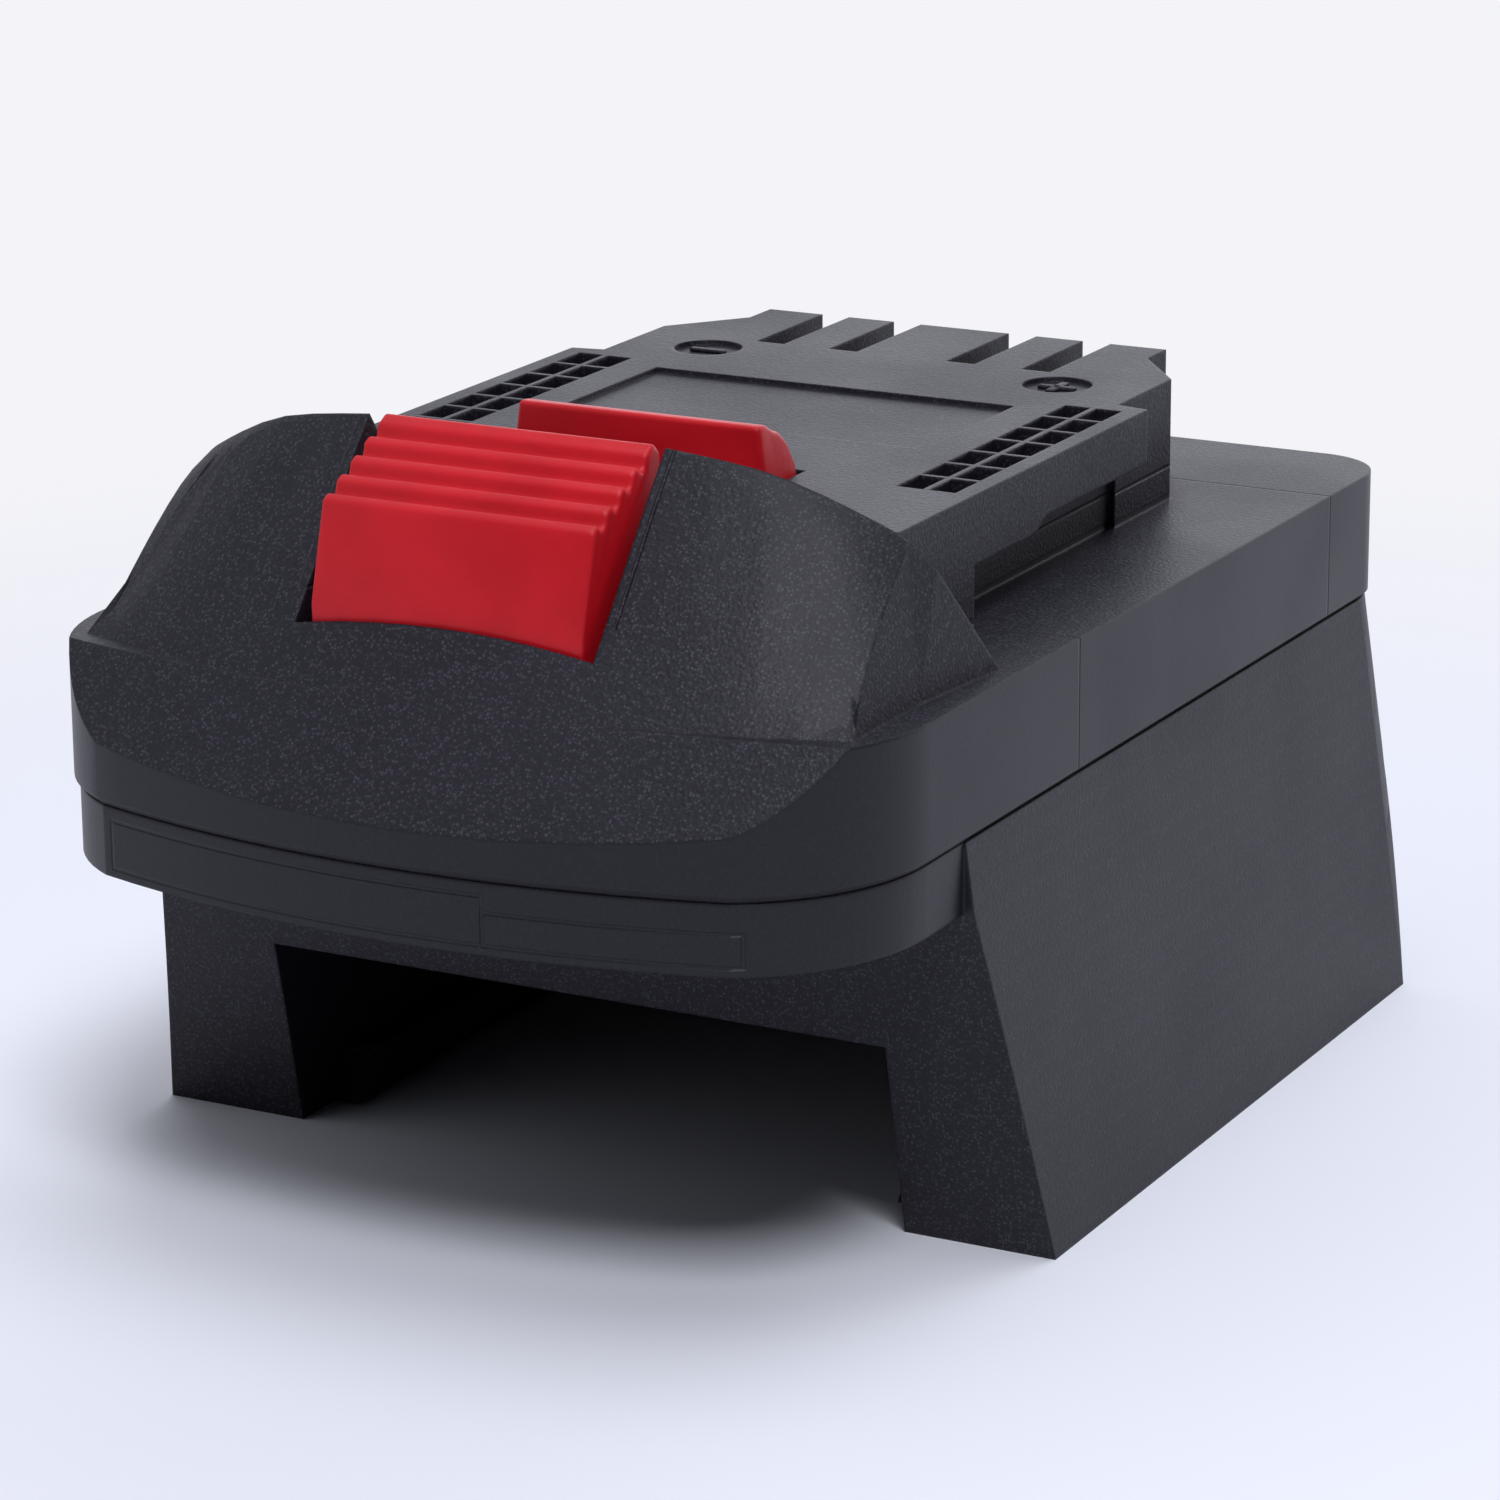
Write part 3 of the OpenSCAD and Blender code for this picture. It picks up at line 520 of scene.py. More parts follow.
@dataclass(frozen=True)
class MouldedRed(Finish):
    """Acetal from a lightly blasted mould: a silky red with a little depth."""

    grain_mm: float = 0.5
    grain_depth_mm: float = 0.012
    grain_detail: float = 3.0
    edge_mm: float = 0.45
    edge_samples: int = 6
    clouds: Clouds = Clouds(
        6.0, 4.0, (0.35, 0.65), (0.93, 0.9, 0.9), (1.06, 1.15, 1.15)
    )
    # Share of the light that enters the plastic, and how far its red, green and
    # blue spread there.
    scatter: float = 0.08
    scatter_mm: Triple = (1.2, 0.3, 0.2)

    def dress(self, tree: Tree, shader: bpy.types.Node) -> None:
        """Adds a faint grain, soft edges, a slow change of tone and some depth.

        Args:
            tree: node tree of the material.
            shader: its principled shader.
        """
        place = self.places(tree)
        grain = noise(tree, place, self.grain_mm, self.grain_detail)
        rounded = add_node(
            tree,
            "ShaderNodeBevel",
            {"Radius": self.edge_mm * MM},
            samples=self.edge_samples,
        )
        roughen(tree, shader, grain, self.grain_depth_mm, rounded.outputs[0])
        cloud = self.clouds.form(tree, place)
        tone = self.clouds.colour(tree, cloud, self.colour)
        tree.links.new(tone, shader.inputs["Base Color"])
        shader.inputs["Subsurface Weight"].default_value = self.scatter
        shader.inputs["Subsurface Radius"].default_value = [
            way * MM for way in self.scatter_mm
        ]


@dataclass(frozen=True)
class Drawn(Finish):
    """Metal with fine marks along one way, from drawing, rolling or turning."""

    mark_mm: float = 0.12
    mark_detail: float = 3.0
    mark_span: Span = (0.3, 0.7)
    stretch: Triple = (1.0, 0.05, 1.0)
    depth_mm: float = 0.004
    # How far the roughness strays with the marks.
    streak: float = 0.06

    def dress(self, tree: Tree, shader: bpy.types.Node) -> None:
        """Adds stretched marks to the height and the roughness.

        Args:
            tree: node tree of the material.
            shader: its principled shader.
        """
        stretched = add_node(
            tree,
            "ShaderNodeMapping",
            {"Vector": self.places(tree), "Scale": self.stretch},
        )
        marks = noise(tree, stretched.outputs[0], self.mark_mm, self.mark_detail)
        roughen(tree, shader, marks, self.depth_mm)
        sheens = (self.roughness - self.streak, self.roughness + self.streak)
        sheen = ramp(tree, marks, self.mark_span, sheens)
        tree.links.new(sheen, shader.inputs["Roughness"])


@dataclass(frozen=True)
class Mottled(Finish):
    """Plain plastic, rubber or lacquer with a slow mottle and a soft surface."""

    clouds: Clouds = Clouds(
        1.5, 4.0, (0.35, 0.65), (0.88, 0.88, 0.88), (1.12, 1.12, 1.12)
    )
    depth_mm: float = 0.01

    def dress(self, tree: Tree, shader: bpy.types.Node) -> None:
        """Adds a mottle to the colour and the height.

        Args:
            tree: node tree of the material.
            shader: its principled shader.
        """
        cloud = self.clouds.form(tree, self.places(tree))
        roughen(tree, shader, cloud, self.depth_mm)
        tone = self.clouds.colour(tree, cloud, self.colour)
        tree.links.new(tone, shader.inputs["Base Color"])


class Slot(Enum):
    """Material slots of the record."""

    SHELL = "black_shell"
    LATCH = "red_latch"
    SPRING = "spring_steel"
    CARRIER = "dark_carrier"
    CONTACT = "contact_metal"
    BOARD = "board"
    LEAD_BLACK = "lead_black"
    LEAD_RED = "lead_red"
    SCREW = "screw_steel"


FINISHES: dict[Slot, Finish] = {
    # Spark-eroded nylon is a dull charcoal; the light its grain catches is painted
    # into the colour as pale glints. The panels are on the flange, on the lip (two)
    # and on the front of the hump.
    Slot.SHELL: ErodedNylon(
        name="spark-eroded glass-filled nylon",
        colour="#1b1a22",
        roughness=0.5,
        ior=1.53,
        specular=0.25,
        panels=(
            Panel((-60.0, -9.75, 33.2), (60.0, 38.3, 46.0)),
            Panel((-24.8, -60.0, 28.2), (8.0, -40.0, 31.8)),
            Panel((8.0, -60.0, 28.2), (26.4, -40.0, 30.6)),
            Panel((-12.9, -60.0, 48.9), (12.9, -20.0, 70.0)),
        ),
    ),
    # Moulded acetal is silky, with broad soft highlights.
    Slot.LATCH: MouldedRed(
        "blast-moulded red acetal", "#c4131f", 0.4, 1.48, specular=0.32
    ),
    # Drawn spring wire is bright along the wire.
    Slot.SPRING: Drawn("drawn spring steel wire", "#b9bcc2", 0.3, metallic=1.0),
    # Moulded polyester is a flat dark grey.
    Slot.CARRIER: Mottled("moulded glass-filled polyester", "#34343a", 0.55, 1.57),
    # Tin over bronze strip is pale gold and slightly streaked.
    Slot.CONTACT: Drawn("tinned rolled bronze strip", "#c8b27a", 0.28, metallic=1.0),
    # Solder mask is a glossy green lacquer over glass cloth.
    Slot.BOARD: Mottled("lacquered glass-epoxy laminate", "#1f5a38", 0.35, 1.55),
    # Soft insulation is dull with a waxy sheen.
    Slot.LEAD_BLACK: Mottled("extruded black silicone", "#1c1c1e", 0.5, 1.42),
    Slot.LEAD_RED: Mottled("extruded red silicone", "#b3161b", 0.5, 1.42),
    # Zinc plate is a cool grey with turning marks.
    Slot.SCREW: Drawn("zinc-plated turned steel", "#8a8d92", 0.34, metallic=1.0),
}


@dataclass
class Wardrobe:
    """Materials of the record's slots, each built once."""

    record: dict
    built: dict[Slot, bpy.types.Material] = field(default_factory=dict)

    def material(self, slot: Slot) -> bpy.types.Material:
        """Gives a slot's material, built at its first use.

        Args:
            slot: slot of the record.

        Returns:
            The material.
        """
        if slot not in self.built:
            self.built[slot] = FINISHES[slot].build()
        return self.built[slot]

    def dress_nodes(self, nodes: dict[str, bpy.types.Object]) -> int:
        """Gives each solid the finish of its slot.

        Args:
            nodes: solids by their name.

        Returns:
            How many solids were dressed.
        """
        subparts = self.record["subparts"]
        slots = {part["node"]: part["material_slot"] for part in subparts}
        for name, solid in nodes.items():
            solid.data.materials.clear()
            solid.data.materials.append(self.material(Slot(slots[name])))
        return len(nodes)


@dataclass
class Replacement:
    """Copy of a solid with softer forms, which is shown in its place."""

    solid: bpy.types.Object
    material: bpy.types.Material
    slot: Slot

    def copy_solid(self, name: str, flat_deg: float) -> bpy.types.Object:
        """Copies the solid, with its triangles joined into flat faces.

        The shading normals kept in the solid's mesh are dropped, because they
        don't fit a mesh that changes.

        Args:
            name: name of the copy.
            flat_deg: angle in degrees up to which faces count as one.

        Returns:
            The copy, which is the active object.
        """
        piece = bpy.data.objects.new(name, self.solid.data.copy())
        bpy.context.scene.collection.objects.link(piece)
        bpy.ops.object.select_all(action="DESELECT")
        piece.select_set(True)
        bpy.context.view_layer.objects.active = piece
        bpy.ops.object.mode_set(mode="EDIT")
        bpy.ops.mesh.select_all(action="SELECT")
        bpy.ops.mesh.remove_doubles(threshold=MERGE_MM * MM)
        bpy.ops.mesh.customdata_custom_splitnormals_clear()
        bpy.ops.mesh.dissolve_limited(angle_limit=math.radians(flat_deg))
        bpy.ops.object.mode_set(mode="OBJECT")
        return piece

    def dress(self, piece: bpy.types.Object, smooth_deg: float) -> None:
        """Smooths the shading of the copy and gives it its material.

        Args:
            piece: the copy, which is the active object.
            smooth_deg: angle in degrees up to which an edge is shaded smooth.
        """
        bpy.ops.object.shade_smooth_by_angle(angle=math.radians(smooth_deg))
        piece.data.materials.clear()
        piece.data.materials.append(self.material)


@dataclass
class RoundedLatch(Replacement):
    """Latch with rounded edges, and with its tongue where the photograph has it.

    All sizes are in millimetres and all angles in degrees.
    """

    name: str = "latch_rounded"
    body: str = "latch"
    # Rounded edges: their radius and the number of faces across them.
    radius: float = 0.4
    segments: int = 4
    # Angles up to which faces count as one, from which an edge is rounded, and up
    # to which an edge looks smooth.
    flat_deg: float = 1.0
    sharp_deg: float = 22.0
    smooth_deg: float = 40.0
    # Front of the tongue, top of its slope and its end along the body, and its
    # height: first in the solid, then in the photograph.
    run: tuple[Span, ...] = ((-8.6, -14.05), (-7.56, -12.9), (-0.3, -9.0))
    top: Span = (56.9, 57.3)
    # How much wider the photographed tongue is.
    wider: float = 1.022
    # Cuts across the tongue's slope, how far each is raised, and from what height.
    crown: tuple[Span, ...] = ((-11.9, 0.35), (-11.1, 0.6), (-10.2, 0.4))
    foot_z: float = 53.2
    # Free space in front of the solid's tongue and below its top.
    clear: float = 0.1
    top_band: float = 0.5
    # How far from its plane a point may lie.
    slack: float = 0.01

    def build(self) -> bpy.types.Object:
        """Copies the solid, moves its tongue and rounds its edges.

        Returns:
            The rounded piece, which replaces the solid.
        """
        piece = self.copy_solid(self.name, self.flat_deg)
        for vertex in piece.data.vertices:
            vertex.co = self.tongue_place(vertex.co / MM) * MM
        self.crown_tongue(piece.data)
        self.round_edges()
        self.dress(piece, self.smooth_deg)
        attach(piece, self.body)
        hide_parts(self.solid.name)
        return piece

    def tongue_place(self, at: Vector) -> Vector:
        """Moves a point of the solid's tongue onto the photographed tongue.

        Args:
            at: point of the latch in millimetres.

        Returns:
            The moved point; points of the button stay.
        """
        if at.y < self.run[0][0] - self.clear:
            return at
        moved = at.copy()
        for (old_a, new_a), (old_b, new_b) in zip(self.run, self.run[1:]):
            if at.y <= old_b + self.slack:
                moved.y = new_a + (at.y - old_a) * (new_b - new_a) / (old_b - old_a)
                break
        if at.z > self.top[0] - self.top_band:
            moved.z += self.top[1] - self.top[0]
        moved.x *= self.wider
        return moved

    def crown_tongue(self, mesh: bpy.types.Mesh) -> None:
        """Bends the tongue's flat slope into a crowned one.

        Args:
            mesh: mesh of the piece, in object mode.
        """
        for run, lift in self.crown:
            bpy.ops.object.mode_set(mode="EDIT")
            bpy.ops.mesh.select_all(action="SELECT")
            bpy.ops.mesh.bisect(
                plane_co=(0.0, run * MM, 0.0), plane_no=(0.0, 1.0, 0.0)
            )
            bpy.ops.object.mode_set(mode="OBJECT")
            for vertex in mesh.vertices:
                at = vertex.co / MM
                if abs(at.y - run) < self.slack and at.z > self.foot_z:
                    vertex.co.z += lift * MM

    def round_edges(self) -> None:
        """Rounds the sharp edges of the active object."""
        bpy.ops.object.mode_set(mode="EDIT")
        bpy.ops.mesh.select_all(action="DESELECT")
        bpy.ops.mesh.select_mode(type="EDGE")
        bpy.ops.mesh.edges_select_sharp(sharpness=math.radians(self.sharp_deg))
        bpy.ops.mesh.bevel(
            offset=self.radius * MM,
            segments=self.segments,
            affect="EDGES",
            clamp_overlap=True,
            miter_outer="ARC",
        )
        bpy.ops.mesh.select_mode(type="VERT")
        bpy.ops.object.mode_set(mode="OBJECT")


def smooth_step(low: float, high: float, value: float) -> float:
    """Rises smoothly from 0 to 1.

    Args:
        low: value up to which the result is 0.
        high: value from which on it is 1.
        value: value to judge.

    Returns:
        The share between 0 and 1.
    """
    share = min(1.0, max(0.0, (value - low) / (high - low)))
    return share * share * (3 - 2 * share)


def soft_max(first: float, second: float, blend: float) -> float:
    """Gives the larger of two values, rounded off where they are close.

    Args:
        first: first value.
        second: second value.
        blend: difference below which the result is rounded off.

    Returns:
        The larger value, or a little more.
    """
    near = max(blend - abs(first - second), 0.0)
    return max(first, second) + (near * near / (4 * blend) if blend > 0 else 0.0)


@dataclass
class SoftHump(Replacement):
    """Upper shell whose hump has full shoulders and soft moulded edges.

    The solid's hump lies within a front cone, a corner cone, two flanks and a
    crest. The piece follows the same surfaces, with a flatter crest and wider
    flanks, and blends them into each other. The wing beside the hump follows it
    over a short reach, and the tongue's slot goes where the photograph has it.
    All sizes are in millimetres and all angles in degrees.
    """

    name: str = "upper_housing_soft"
    # Distance between the cuts of the net, and how far it goes to the side and up.
    grid: float = 0.7
    half_x: float = 38.4
    top_z: float = 61.0
    # Angles up to which faces count as one, and up to which edges look smooth.
    flat_deg: float = 0.4
    smooth_deg: float = 17.0
    # Top of the flange, top and underside of the deck.
    flange_z: float = 43.2
    deck_z: float = 53.0
    deck_under_z: float = 50.6
    # Rear face: its place at the flange, and its run over its rise.
    rear_y: float = -19.85
    rear_lean: float = 0.7159
    # Front cone: its foremost place and its radius, both at the brow's height, and
    # its rise over its run.
    front_y: float = -51.95
    front_r: float = 100.0
    brow_z: float = 35.9
    front_slope: float = 1.2525
    # Corner cone: its radius at the flange, and its run over its rise.
    corner_r: float = 37.7
    corner_slope: float = 0.6633
    # Solid's shoulders, and how far within the other surfaces their points may lie.
    shoulder_r: float = 1.8
    shoulder_skin: float = 0.45
    # Half the width between the flanks at the flange and at the deck.
    foot_x: float = 31.4
    flank_top_x: float = 29.6
    # Height and radius of the solid's crest, then of the photographed one.
    crest_z: float = 60.8
    crest_r: float = 80.0
    full_crest_z: float = 60.6
    full_crest_r: float = 124.0
    # How far the flanks move out at the deck.
    flank_gain: float = 0.95
    # Blends of front and corner, of both and the flank, and of these and the crest,
    # in the middle and at the shoulders; the last two change over shoulder_span.
    corner_blend: float = 3.6
    flank_blend: float = 1.5
    crest_blend: float = 0.9
    shoulder_blend: float = 5.0
    shoulder_span: Span = (18.0, 27.0)
    # Height above the flange over which the first two blends set in.
    rise: float = 2.0
    # How far from its surface a point may lie, and how far the wing follows.
    skin: float = 0.03
    reach: float = 3.0
    # Step that measures a slope, steps to the surface, and least squared slope.
    probe: float = 0.01
    passes: int = 6
    least_slope: float = 0.1
    # Front and rear edge of the tongue's slot, and half its length across the body:
    # first in the solid, then in the photograph.
    slot_run: tuple[Span, ...] = ((-9.0, -14.45), (0.1, -8.55))
    slot_x: Span = (11.0, 11.2)

    def build(self) -> bpy.types.Object:
        """Copies the solid, cuts its hump into a fine net and softens it.

        Returns:
            The softened piece, which replaces the solid.
        """
        piece = self.copy_solid(self.name, self.flat_deg)
        mesh = piece.data
        for vertex in mesh.vertices:
            self.move_slot(vertex)
        self.cut_net(mesh)
        moved = 0
        for vertex in mesh.vertices:
            at = vertex.co / MM
            if self.on_hump(at):
                vertex.co = self.settle(at) * MM
                moved += 1
            elif self.beside_hump(at):
                vertex.co = self.follow(at) * MM
        LOG.info("%d points of the hump settled", moved)
        self.dress(piece, self.smooth_deg)
        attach(piece, "shell")
        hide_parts(self.solid.name)
        return piece

    def move_slot(self, vertex: bpy.types.MeshVertex) -> None:
        """Moves a corner of the tongue's slot to the photographed place.

        Args:
            vertex: vertex of the piece.
        """
        at = vertex.co / MM
        old_x, new_x = self.slot_x
        under = at.z < self.deck_under_z - self.skin
        if under or abs(abs(at.x) - old_x) > self.skin:
            return
        for old, new in self.slot_run:
            if abs(at.y - old) < self.skin:
                vertex.co.x = math.copysign(new_x, at.x) * MM
                vertex.co.y = new * MM
                break

    def cut_net(self, mesh: bpy.types.Mesh) -> None:
        """Cuts the faces in the hump's space along three sets of planes.

        Args:
            mesh: mesh of the piece, in object mode.
        """
        away = [not self.in_space(v.co / MM, -self.skin) for v in mesh.vertices]
        mesh.polygons.foreach_set(
            "select", [any(away[i] for i in p.vertices) for p in mesh.polygons]
        )
        bpy.ops.object.mode_set(mode="EDIT")
        bpy.ops.mesh.select_mode(type="FACE")
        bpy.ops.mesh.hide(unselected=False)
        spans = (
            (0, -self.half_x, self.half_x),
            (1, self.front_y, self.rear_y),
            (2, self.flange_z, self.top_z),
        )
        for axis, low, high in spans:
            way = tuple(float(i == axis) for i in range(3))
            for step in range(1, int((high - low) / self.grid) + 1):
                at = (low + step * self.grid) * MM
                bpy.ops.mesh.select_all(action="SELECT")
                bpy.ops.mesh.bisect(plane_co=[w * at for w in way], plane_no=way)
        bpy.ops.mesh.reveal(select=True)
        bpy.ops.mesh.select_mode(type="VERT")
        bpy.ops.mesh.select_all(action="SELECT")
        bpy.ops.mesh.remove_doubles(threshold=MERGE_MM * MM)
        bpy.ops.object.mode_set(mode="OBJECT")

    def behind(self, at: Vector) -> float:
        """Measures how far a point lies behind the hump's sloping rear face.

        Args:
            at: point in millimetres.

        Returns:
            Distance in millimetres, below 0 for a point in front of it.
        """
        run = at.y - self.rear_y + (at.z - self.flange_z) * self.rear_lean
        return run / math.hypot(1.0, self.rear_lean)

    def in_space(self, at: Vector, above: float) -> bool:
        """Tells whether a point is over the flange and not behind the hump.

        Args:
            at: point in millimetres.
            above: least height above the flange.

        Returns:
            True for a point in the hump's space.
        """
        return self.behind(at) <= self.skin and at.z >= self.flange_z + above

    def sides(self, at: Vector, full: bool) -> tuple[float, float, float, float]:
        """Measures how far a point lies outside each surface of the hump.

        Args:
            at: point in millimetres.
            full: whether the crest and the flanks are the fuller ones.

        Returns:
            Distances outside the front cone, corner cone, flank and crest.
        """
        up = at.z - self.flange_z
        ahead = math.hypot(at.x, at.y - self.front_y - self.front_r)
        front = ahead - self.front_r + (at.z - self.brow_z) / self.front_slope
        front /= math.hypot(1.0, 1 / self.front_slope)
        corner = math.hypot(at.x, at.y - self.rear_y) - self.corner_r
        corner = (corner + up * self.corner_slope) / math.hypot(1.0, self.corner_slope)
        lean = (self.foot_x - self.flank_top_x) / (self.deck_z - self.flange_z)
        flank = (abs(at.x) - self.foot_x + up * lean) / math.hypot(1.0, lean)
        crest_z, crest_r = self.crest_z, self.crest_r
        if full:
            crest_z, crest_r = self.full_crest_z, self.full_crest_r
            flank -= self.flank_gain * smooth_step(self.flange_z, self.deck_z, at.z)
        crest = math.hypot(at.x, at.z - crest_z + crest_r) - crest_r
        return front, corner, flank, crest

    def on_hump(self, at: Vector) -> bool:
        """Tells whether a point lies on the outside of the solid's hump.

        Args:
            at: point in millimetres.

        Returns:
            True for a point of the hump's outside or of its rear rim.
        """
        if not self.in_space(at, self.skin):
            return False
        front, corner, flank, crest = self.sides(at, False)
        on_shoulder = min(flank, crest) > -self.shoulder_r
        skin = self.shoulder_skin if on_shoulder else self.skin
        if -skin < max(front, corner, flank, crest) < self.skin:
            return True
        return self.behind(at) > -self.skin and self.outside(at) > 0

    def beside_hump(self, at: Vector) -> bool:
        """Tells whether a point of the wing is close to the solid's hump.

        Args:
            at: point in millimetres.

        Returns:
            True for a point that moves along with the hump.
        """
        near = self.skin <= max(self.sides(at, False)) < self.reach
        return near and self.in_space(at, self.skin)

    def follow(self, at: Vector) -> Vector:
        """Moves a point of the wing along with the hump beside it.

        Args:
            at: point in millimetres.

        Returns:
            The moved point.
        """
        depth = max(self.sides(at, False))
        shift = self.outside(at) - depth
        return at - self.slope(at) * shift * (1 - smooth_step(0.0, self.reach, depth))

    def slope(self, at: Vector) -> Vector:
        """Gives the way straight out of the softened hump at a point.

        Args:
            at: point in millimetres.

        Returns:
            The way, within the rear face for a point of its rim.
        """
        value = self.outside(at)
        slope = Vector(
            (self.outside(at + self.probe * Vector(axis)) - value) / self.probe
            for axis in ((1, 0, 0), (0, 1, 0), (0, 0, 1))
        )
        if self.behind(at) > -self.skin:
            rear = Vector((0.0, 1.0, self.rear_lean)).normalized()
            slope -= rear * slope.dot(rear)
        return slope

    def outside(self, at: Vector) -> float:
        """Measures how far a point lies outside the softened hump.

        Args:
            at: point in millimetres.

        Returns:
            Distance in millimetres, below 0 for a point within.
        """
        front, corner, flank, crest = self.sides(at, True)
        share = smooth_step(self.flange_z, self.flange_z + self.rise, at.z)
        end = smooth_step(*self.shoulder_span, abs(at.x))
        body = soft_max(front, corner, self.corner_blend * share)
        body = soft_max(body, flank, self.flank_blend * share)
        top = self.crest_blend + (self.shoulder_blend - self.crest_blend) * end
        return soft_max(body, crest, top)

    def settle(self, at: Vector) -> Vector:
        """Moves a point straight onto the softened hump.

        Args:
            at: point in millimetres.

        Returns:
            The point on the surface.
        """
        for _ in range(self.passes):
            slope = self.slope(at)
            square = max(slope.length_squared, self.least_slope)
            at = at - slope * (self.outside(at) / square)
        return at


@dataclass
class PolarityMarks:
    """Raised plus and minus bars in the two discs of the deck."""

    wardrobe: Wardrobe
    disc_x: float = 15.7
    disc_y: float = 26.0
    floor_z: float = 52.6
    # Length, width and height of a bar, radius of its edges and faces across them.
    bar: Triple = (3.2, 0.7, 0.3)
    soft: float = 0.12
    segments: int = 3
    smooth_deg: float = 35.0

    def build(self) -> list[bpy.types.Object]:
        """Models both signs.

        Returns:
            The minus sign and the plus sign.
        """
        minus = self.sign("sign_minus", -self.disc_x, (0.0,))
        plus = self.sign("sign_plus", self.disc_x, (0.0, math.pi / 2))
        return [minus, plus]

    def sign(self, name: str, x: float, turns: tuple[float, ...]) -> bpy.types.Object:
        """Models one sign out of bars that cross at its middle.

        Args:
            name: name of the piece.
            x: place of the sign across the deck.
            turns: angle of each bar.

        Returns:
            The sign.
        """
        middle = (x, self.disc_y, self.floor_z + self.bar[2] / 2)
        bars = []
        for turn in turns:
            bpy.ops.object.select_all(action="DESELECT")
            bpy.ops.mesh.primitive_cube_add(
                size=1.0,
                location=[place * MM for place in middle],
                rotation=(0.0, 0.0, turn),
                scale=[side * MM for side in self.bar],
            )
            bars.append(bpy.context.object)
            bpy.ops.object.mode_set(mode="EDIT")
            bpy.ops.mesh.select_all(action="SELECT")
            bpy.ops.mesh.bevel(
                offset=self.soft * MM, segments=self.segments, affect="EDGES"
            )
            bpy.ops.object.mode_set(mode="OBJECT")
        bpy.ops.object.select_all(action="DESELECT")
        for bar in bars:
            bar.select_set(True)
        bpy.context.view_layer.objects.active = bars[0]
        if len(bars) > 1:
            bpy.ops.object.join()
        sign = bpy.context.object
        sign.name = name
        bpy.ops.object.transform_apply(location=True, rotation=True, scale=True)
        bpy.ops.object.shade_smooth_by_angle(angle=math.radians(self.smooth_deg))
        sign.data.materials.append(self.wardrobe.material(Slot.SHELL))
        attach(sign, "shell")
        return sign


@dataclass(frozen=True)
class Glow:
    """Broad pale area of the room, seen from the object in one direction."""

    way: Triple
    power: float
    # Cosines of the angles at which it ends and within which it is brightest.
    span: Span


@dataclass(frozen=True)
class Softbox:
    """Square lamp that faces the object; place and size in metres, power in watts."""

    name: str
    place: Triple
    size: float
    power: float


GLOWS: tuple[Glow, ...] = (
    # Low behind the object, where it rims the deck and the latch.
    Glow((0.0, 1.0, 0.05), 2.25, (0.6, 1.0)),
    # On the left.
    Glow((-0.96, 0.0, 0.28), 0.6, (0.0, 0.9)),
)

SOFTBOXES: tuple[Softbox, ...] = (
    Softbox("softbox_front", (0.4, -0.55, 1.0), 0.35, 8.2),
    Softbox("softbox_top", (0.15, 0.1, 1.2), 0.8, 6.5),
)


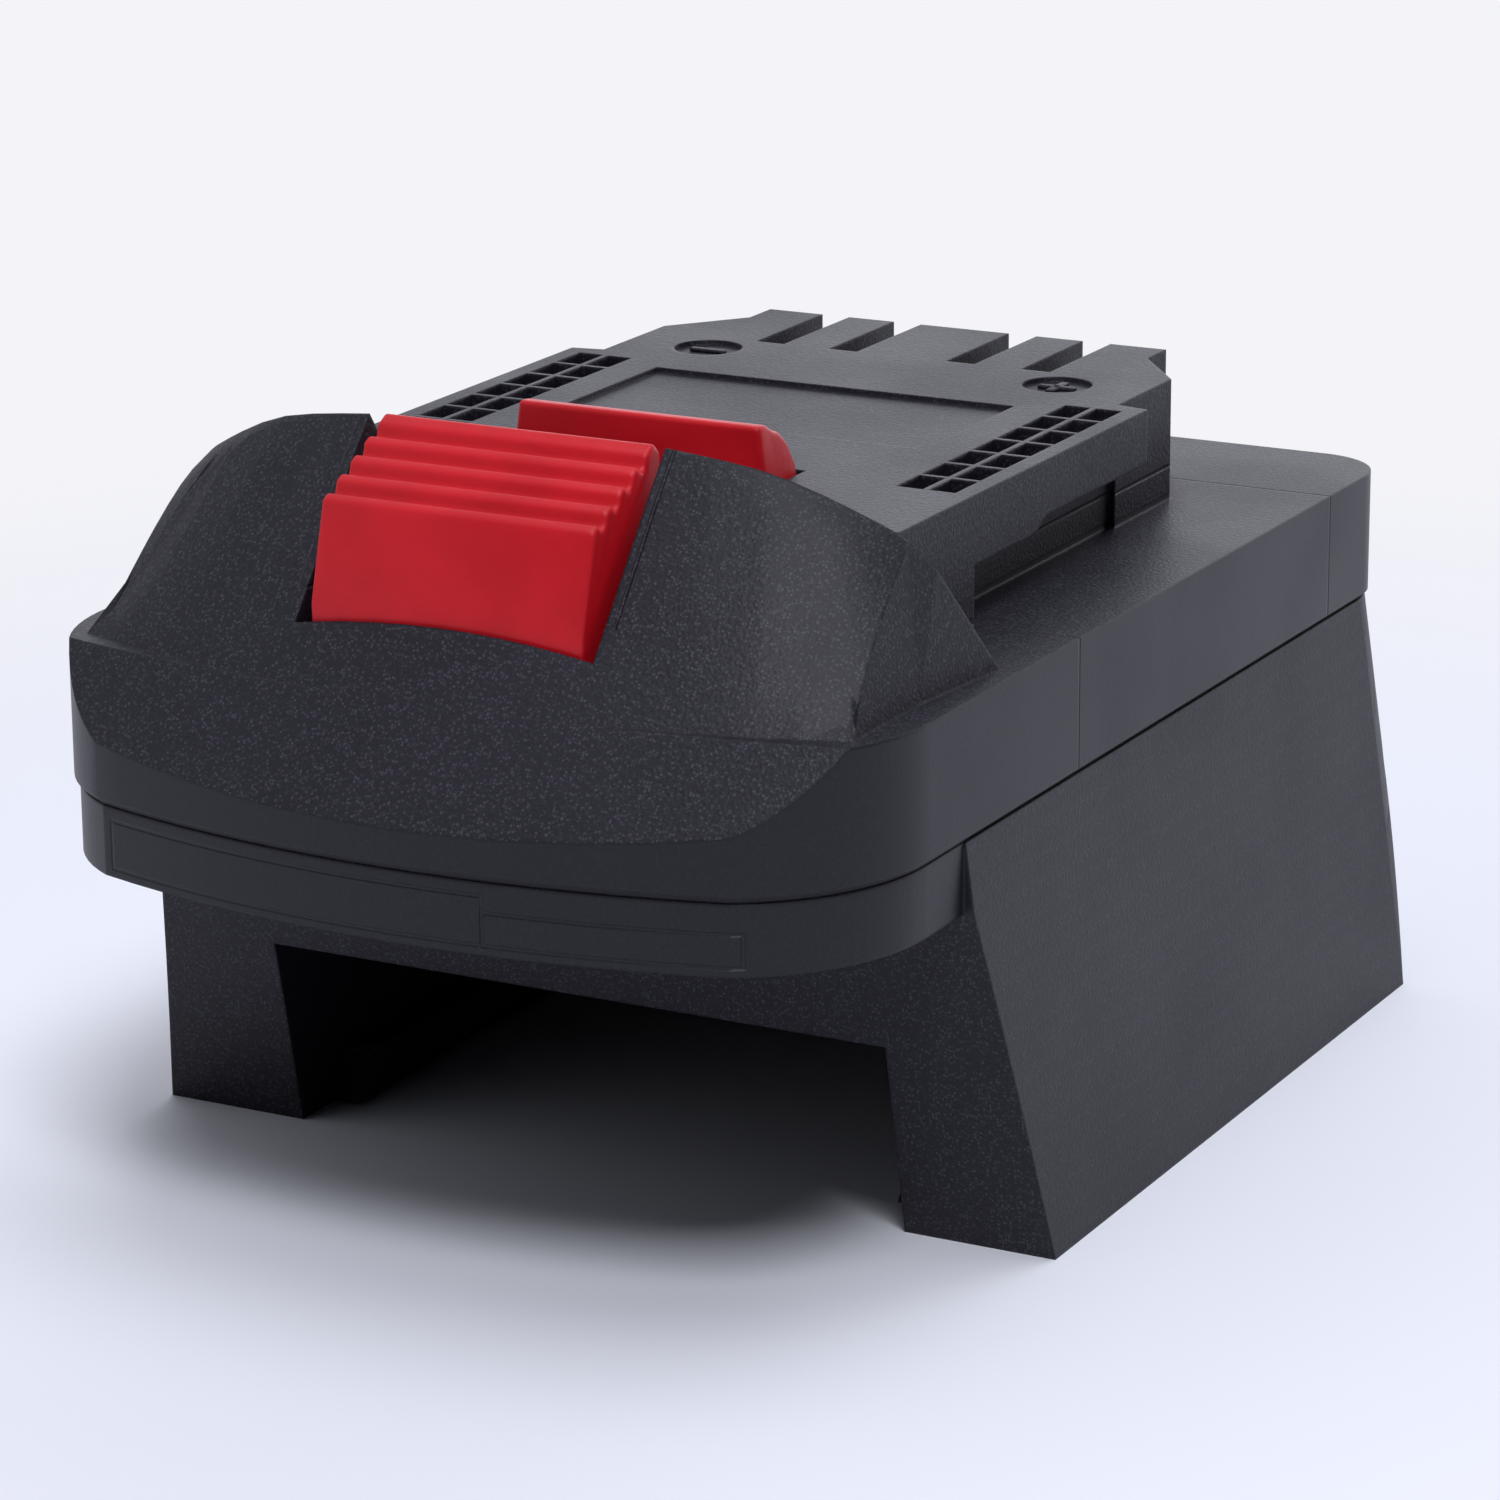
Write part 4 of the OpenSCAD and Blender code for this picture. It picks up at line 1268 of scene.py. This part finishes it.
@dataclass
class Studio:
    """Pale sweep, soft light and a camera at the photograph's view.

    Places and lengths are in metres, but for the lens, the sensor and the fibres.
    """

    camera_at: Triple = (0.191007, -0.354648, 0.147218)
    camera_turn: Triple = (73.46496, 0.40195, 27.96386)
    lens: float = 129.7218
    sensor: float = 36.0
    clip_start: float = 0.01
    aim: Triple = (0.0, 0.0, 0.02)
    light: str = "#f5f6ff"
    pale: str = "#f4f4f8"
    paper: str = "#e6e8ee"
    paper_roughness: float = 0.9
    paper_specular: float = 0.1
    fibre_scale: float = 900.0
    fibre_detail: float = 2.0
    fibre_depth_mm: float = 0.01
    floor_half: float = 1.6
    # Distances between which the floor turns into the backdrop.
    fade: Span = (0.07, 0.24)

    def build(self) -> None:
        """Sets up floor, lights, world and camera."""
        self.build_floor()
        self.build_lights()
        self.build_world()
        self.build_camera()
        bpy.context.scene.view_settings.view_transform = "Standard"

    def build_floor(self) -> None:
        """Models the floor, which pales into the backdrop away from the object."""
        bpy.ops.object.select_all(action="DESELECT")
        bpy.ops.mesh.primitive_plane_add(size=2 * self.floor_half)
        floor = bpy.context.object
        floor.name = "sweep"
        bpy.ops.object.mode_set(mode="EDIT")
        bpy.ops.mesh.select_all(action="SELECT")
        bpy.ops.mesh.subdivide(number_cuts=1)
        bpy.ops.object.mode_set(mode="OBJECT")
        material, shader = blank_material("matt white paper")
        tree = material.node_tree
        shader.inputs["Base Color"].default_value = linear(self.paper)
        shader.inputs["Roughness"].default_value = self.paper_roughness
        shader.inputs["Specular IOR Level"].default_value = self.paper_specular
        fibre = add_node(
            tree,
            "ShaderNodeTexNoise",
            {"Scale": self.fibre_scale, "Detail": self.fibre_detail},
        )
        roughen(tree, shader, fibre.outputs[0], self.fibre_depth_mm)
        self.pale_backdrop(tree, shader)
        floor.data.materials.append(material)

    def pale_backdrop(self, tree: Tree, shader: bpy.types.Node) -> None:
        """Lets the floor turn into an even pale backdrop with distance.

        Args:
            tree: node tree of the floor's material.
            shader: shader of the lit paper.
        """
        coord = add_node(tree, "ShaderNodeTexCoord")
        away = add_node(
            tree,
            "ShaderNodeVectorMath",
            {0: coord.outputs["Object"]},
            operation="LENGTH",
        )
        far = ramp(tree, away.outputs["Value"], self.fade)
        path = add_node(tree, "ShaderNodeLightPath")
        share = combine(tree, "MULTIPLY", far, path.outputs["Is Camera Ray"])
        even = add_node(
            tree,
            "ShaderNodeEmission",
            {"Color": linear(self.pale), "Strength": 1.0},
        )
        mixed = add_node(
            tree,
            "ShaderNodeMixShader",
            {0: share, 1: shader.outputs["BSDF"], 2: even.outputs[0]},
        )
        out = next(n for n in tree.nodes if n.type == "OUTPUT_MATERIAL")
        tree.links.new(mixed.outputs[0], out.inputs["Surface"])

    def build_lights(self) -> None:
        """Hangs the soft boxes round the object."""
        for box in SOFTBOXES:
            data = bpy.data.lights.new(box.name, "AREA")
            data.shape = "SQUARE"
            data.size = box.size
            data.energy = box.power
            data.color = linear(self.light)[:3]
            lamp = bpy.data.objects.new(box.name, data)
            lamp.location = box.place
            way = Vector(self.aim) - Vector(box.place)
            lamp.rotation_euler = way.to_track_quat("-Z", "Y").to_euler()
            bpy.context.scene.collection.objects.link(lamp)

    def build_world(self) -> None:
        """Makes a dim room with broad pale areas."""
        world = bpy.data.worlds.new("pale room")
        bpy.context.scene.world = world
        world.use_nodes = True
        tree = world.node_tree
        tree.nodes.clear()
        coord = add_node(tree, "ShaderNodeTexCoord")
        total: Socket | float = 0.0
        for glow in GLOWS:
            near = add_node(
                tree,
                "ShaderNodeVectorMath",
                {0: coord.outputs["Generated"], 1: glow.way},
                operation="DOT_PRODUCT",
            )
            shape = ramp(tree, near.outputs["Value"], glow.span)
            part = combine(tree, "MULTIPLY", shape, glow.power)
            total = combine(tree, "ADD", total, part)
        room = add_node(
            tree,
            "ShaderNodeBackground",
            {"Color": linear(self.light), "Strength": total},
        )
        seen = add_node(
            tree,
            "ShaderNodeBackground",
            {"Color": linear(self.pale), "Strength": 1.0},
        )
        path = add_node(tree, "ShaderNodeLightPath")
        mixed = add_node(
            tree,
            "ShaderNodeMixShader",
            {0: path.outputs["Is Camera Ray"], 1: room.outputs[0], 2: seen.outputs[0]},
        )
        add_node(tree, "ShaderNodeOutputWorld", {"Surface": mixed.outputs[0]})

    def build_camera(self) -> None:
        """Places the camera that matches the photograph's straight edges."""
        data = bpy.data.cameras.new("camera")
        data.lens = self.lens
        data.sensor_width = self.sensor
        data.sensor_fit = "HORIZONTAL"
        data.clip_start = self.clip_start
        camera = bpy.data.objects.new("camera", data)
        camera.location = self.camera_at
        camera.rotation_euler = Euler([math.radians(a) for a in self.camera_turn])
        bpy.context.scene.collection.objects.link(camera)
        bpy.context.scene.camera = camera


def main() -> None:
    """Builds the looks around the frame in order and reports each piece."""
    logging.basicConfig(level=logging.INFO, format="%(name)s: %(message)s")
    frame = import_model()
    Studio().build()
    LOG.info("studio ready")
    wardrobe = Wardrobe(frame["record"])
    LOG.info("%d solids dressed", wardrobe.dress_nodes(frame["nodes"]))
    latch = RoundedLatch(
        frame["nodes"]["latch"], wardrobe.material(Slot.LATCH), Slot.LATCH
    ).build()
    LOG.info("piece %s", latch.name)
    shell = SoftHump(
        frame["nodes"]["upper_housing"], wardrobe.material(Slot.SHELL), Slot.SHELL
    ).build()
    LOG.info("piece %s, %d faces", shell.name, len(shell.data.polygons))
    for piece in PolarityMarks(wardrobe).build():
        LOG.info("piece %s", piece.name)


if __name__ == "__main__":
    main()
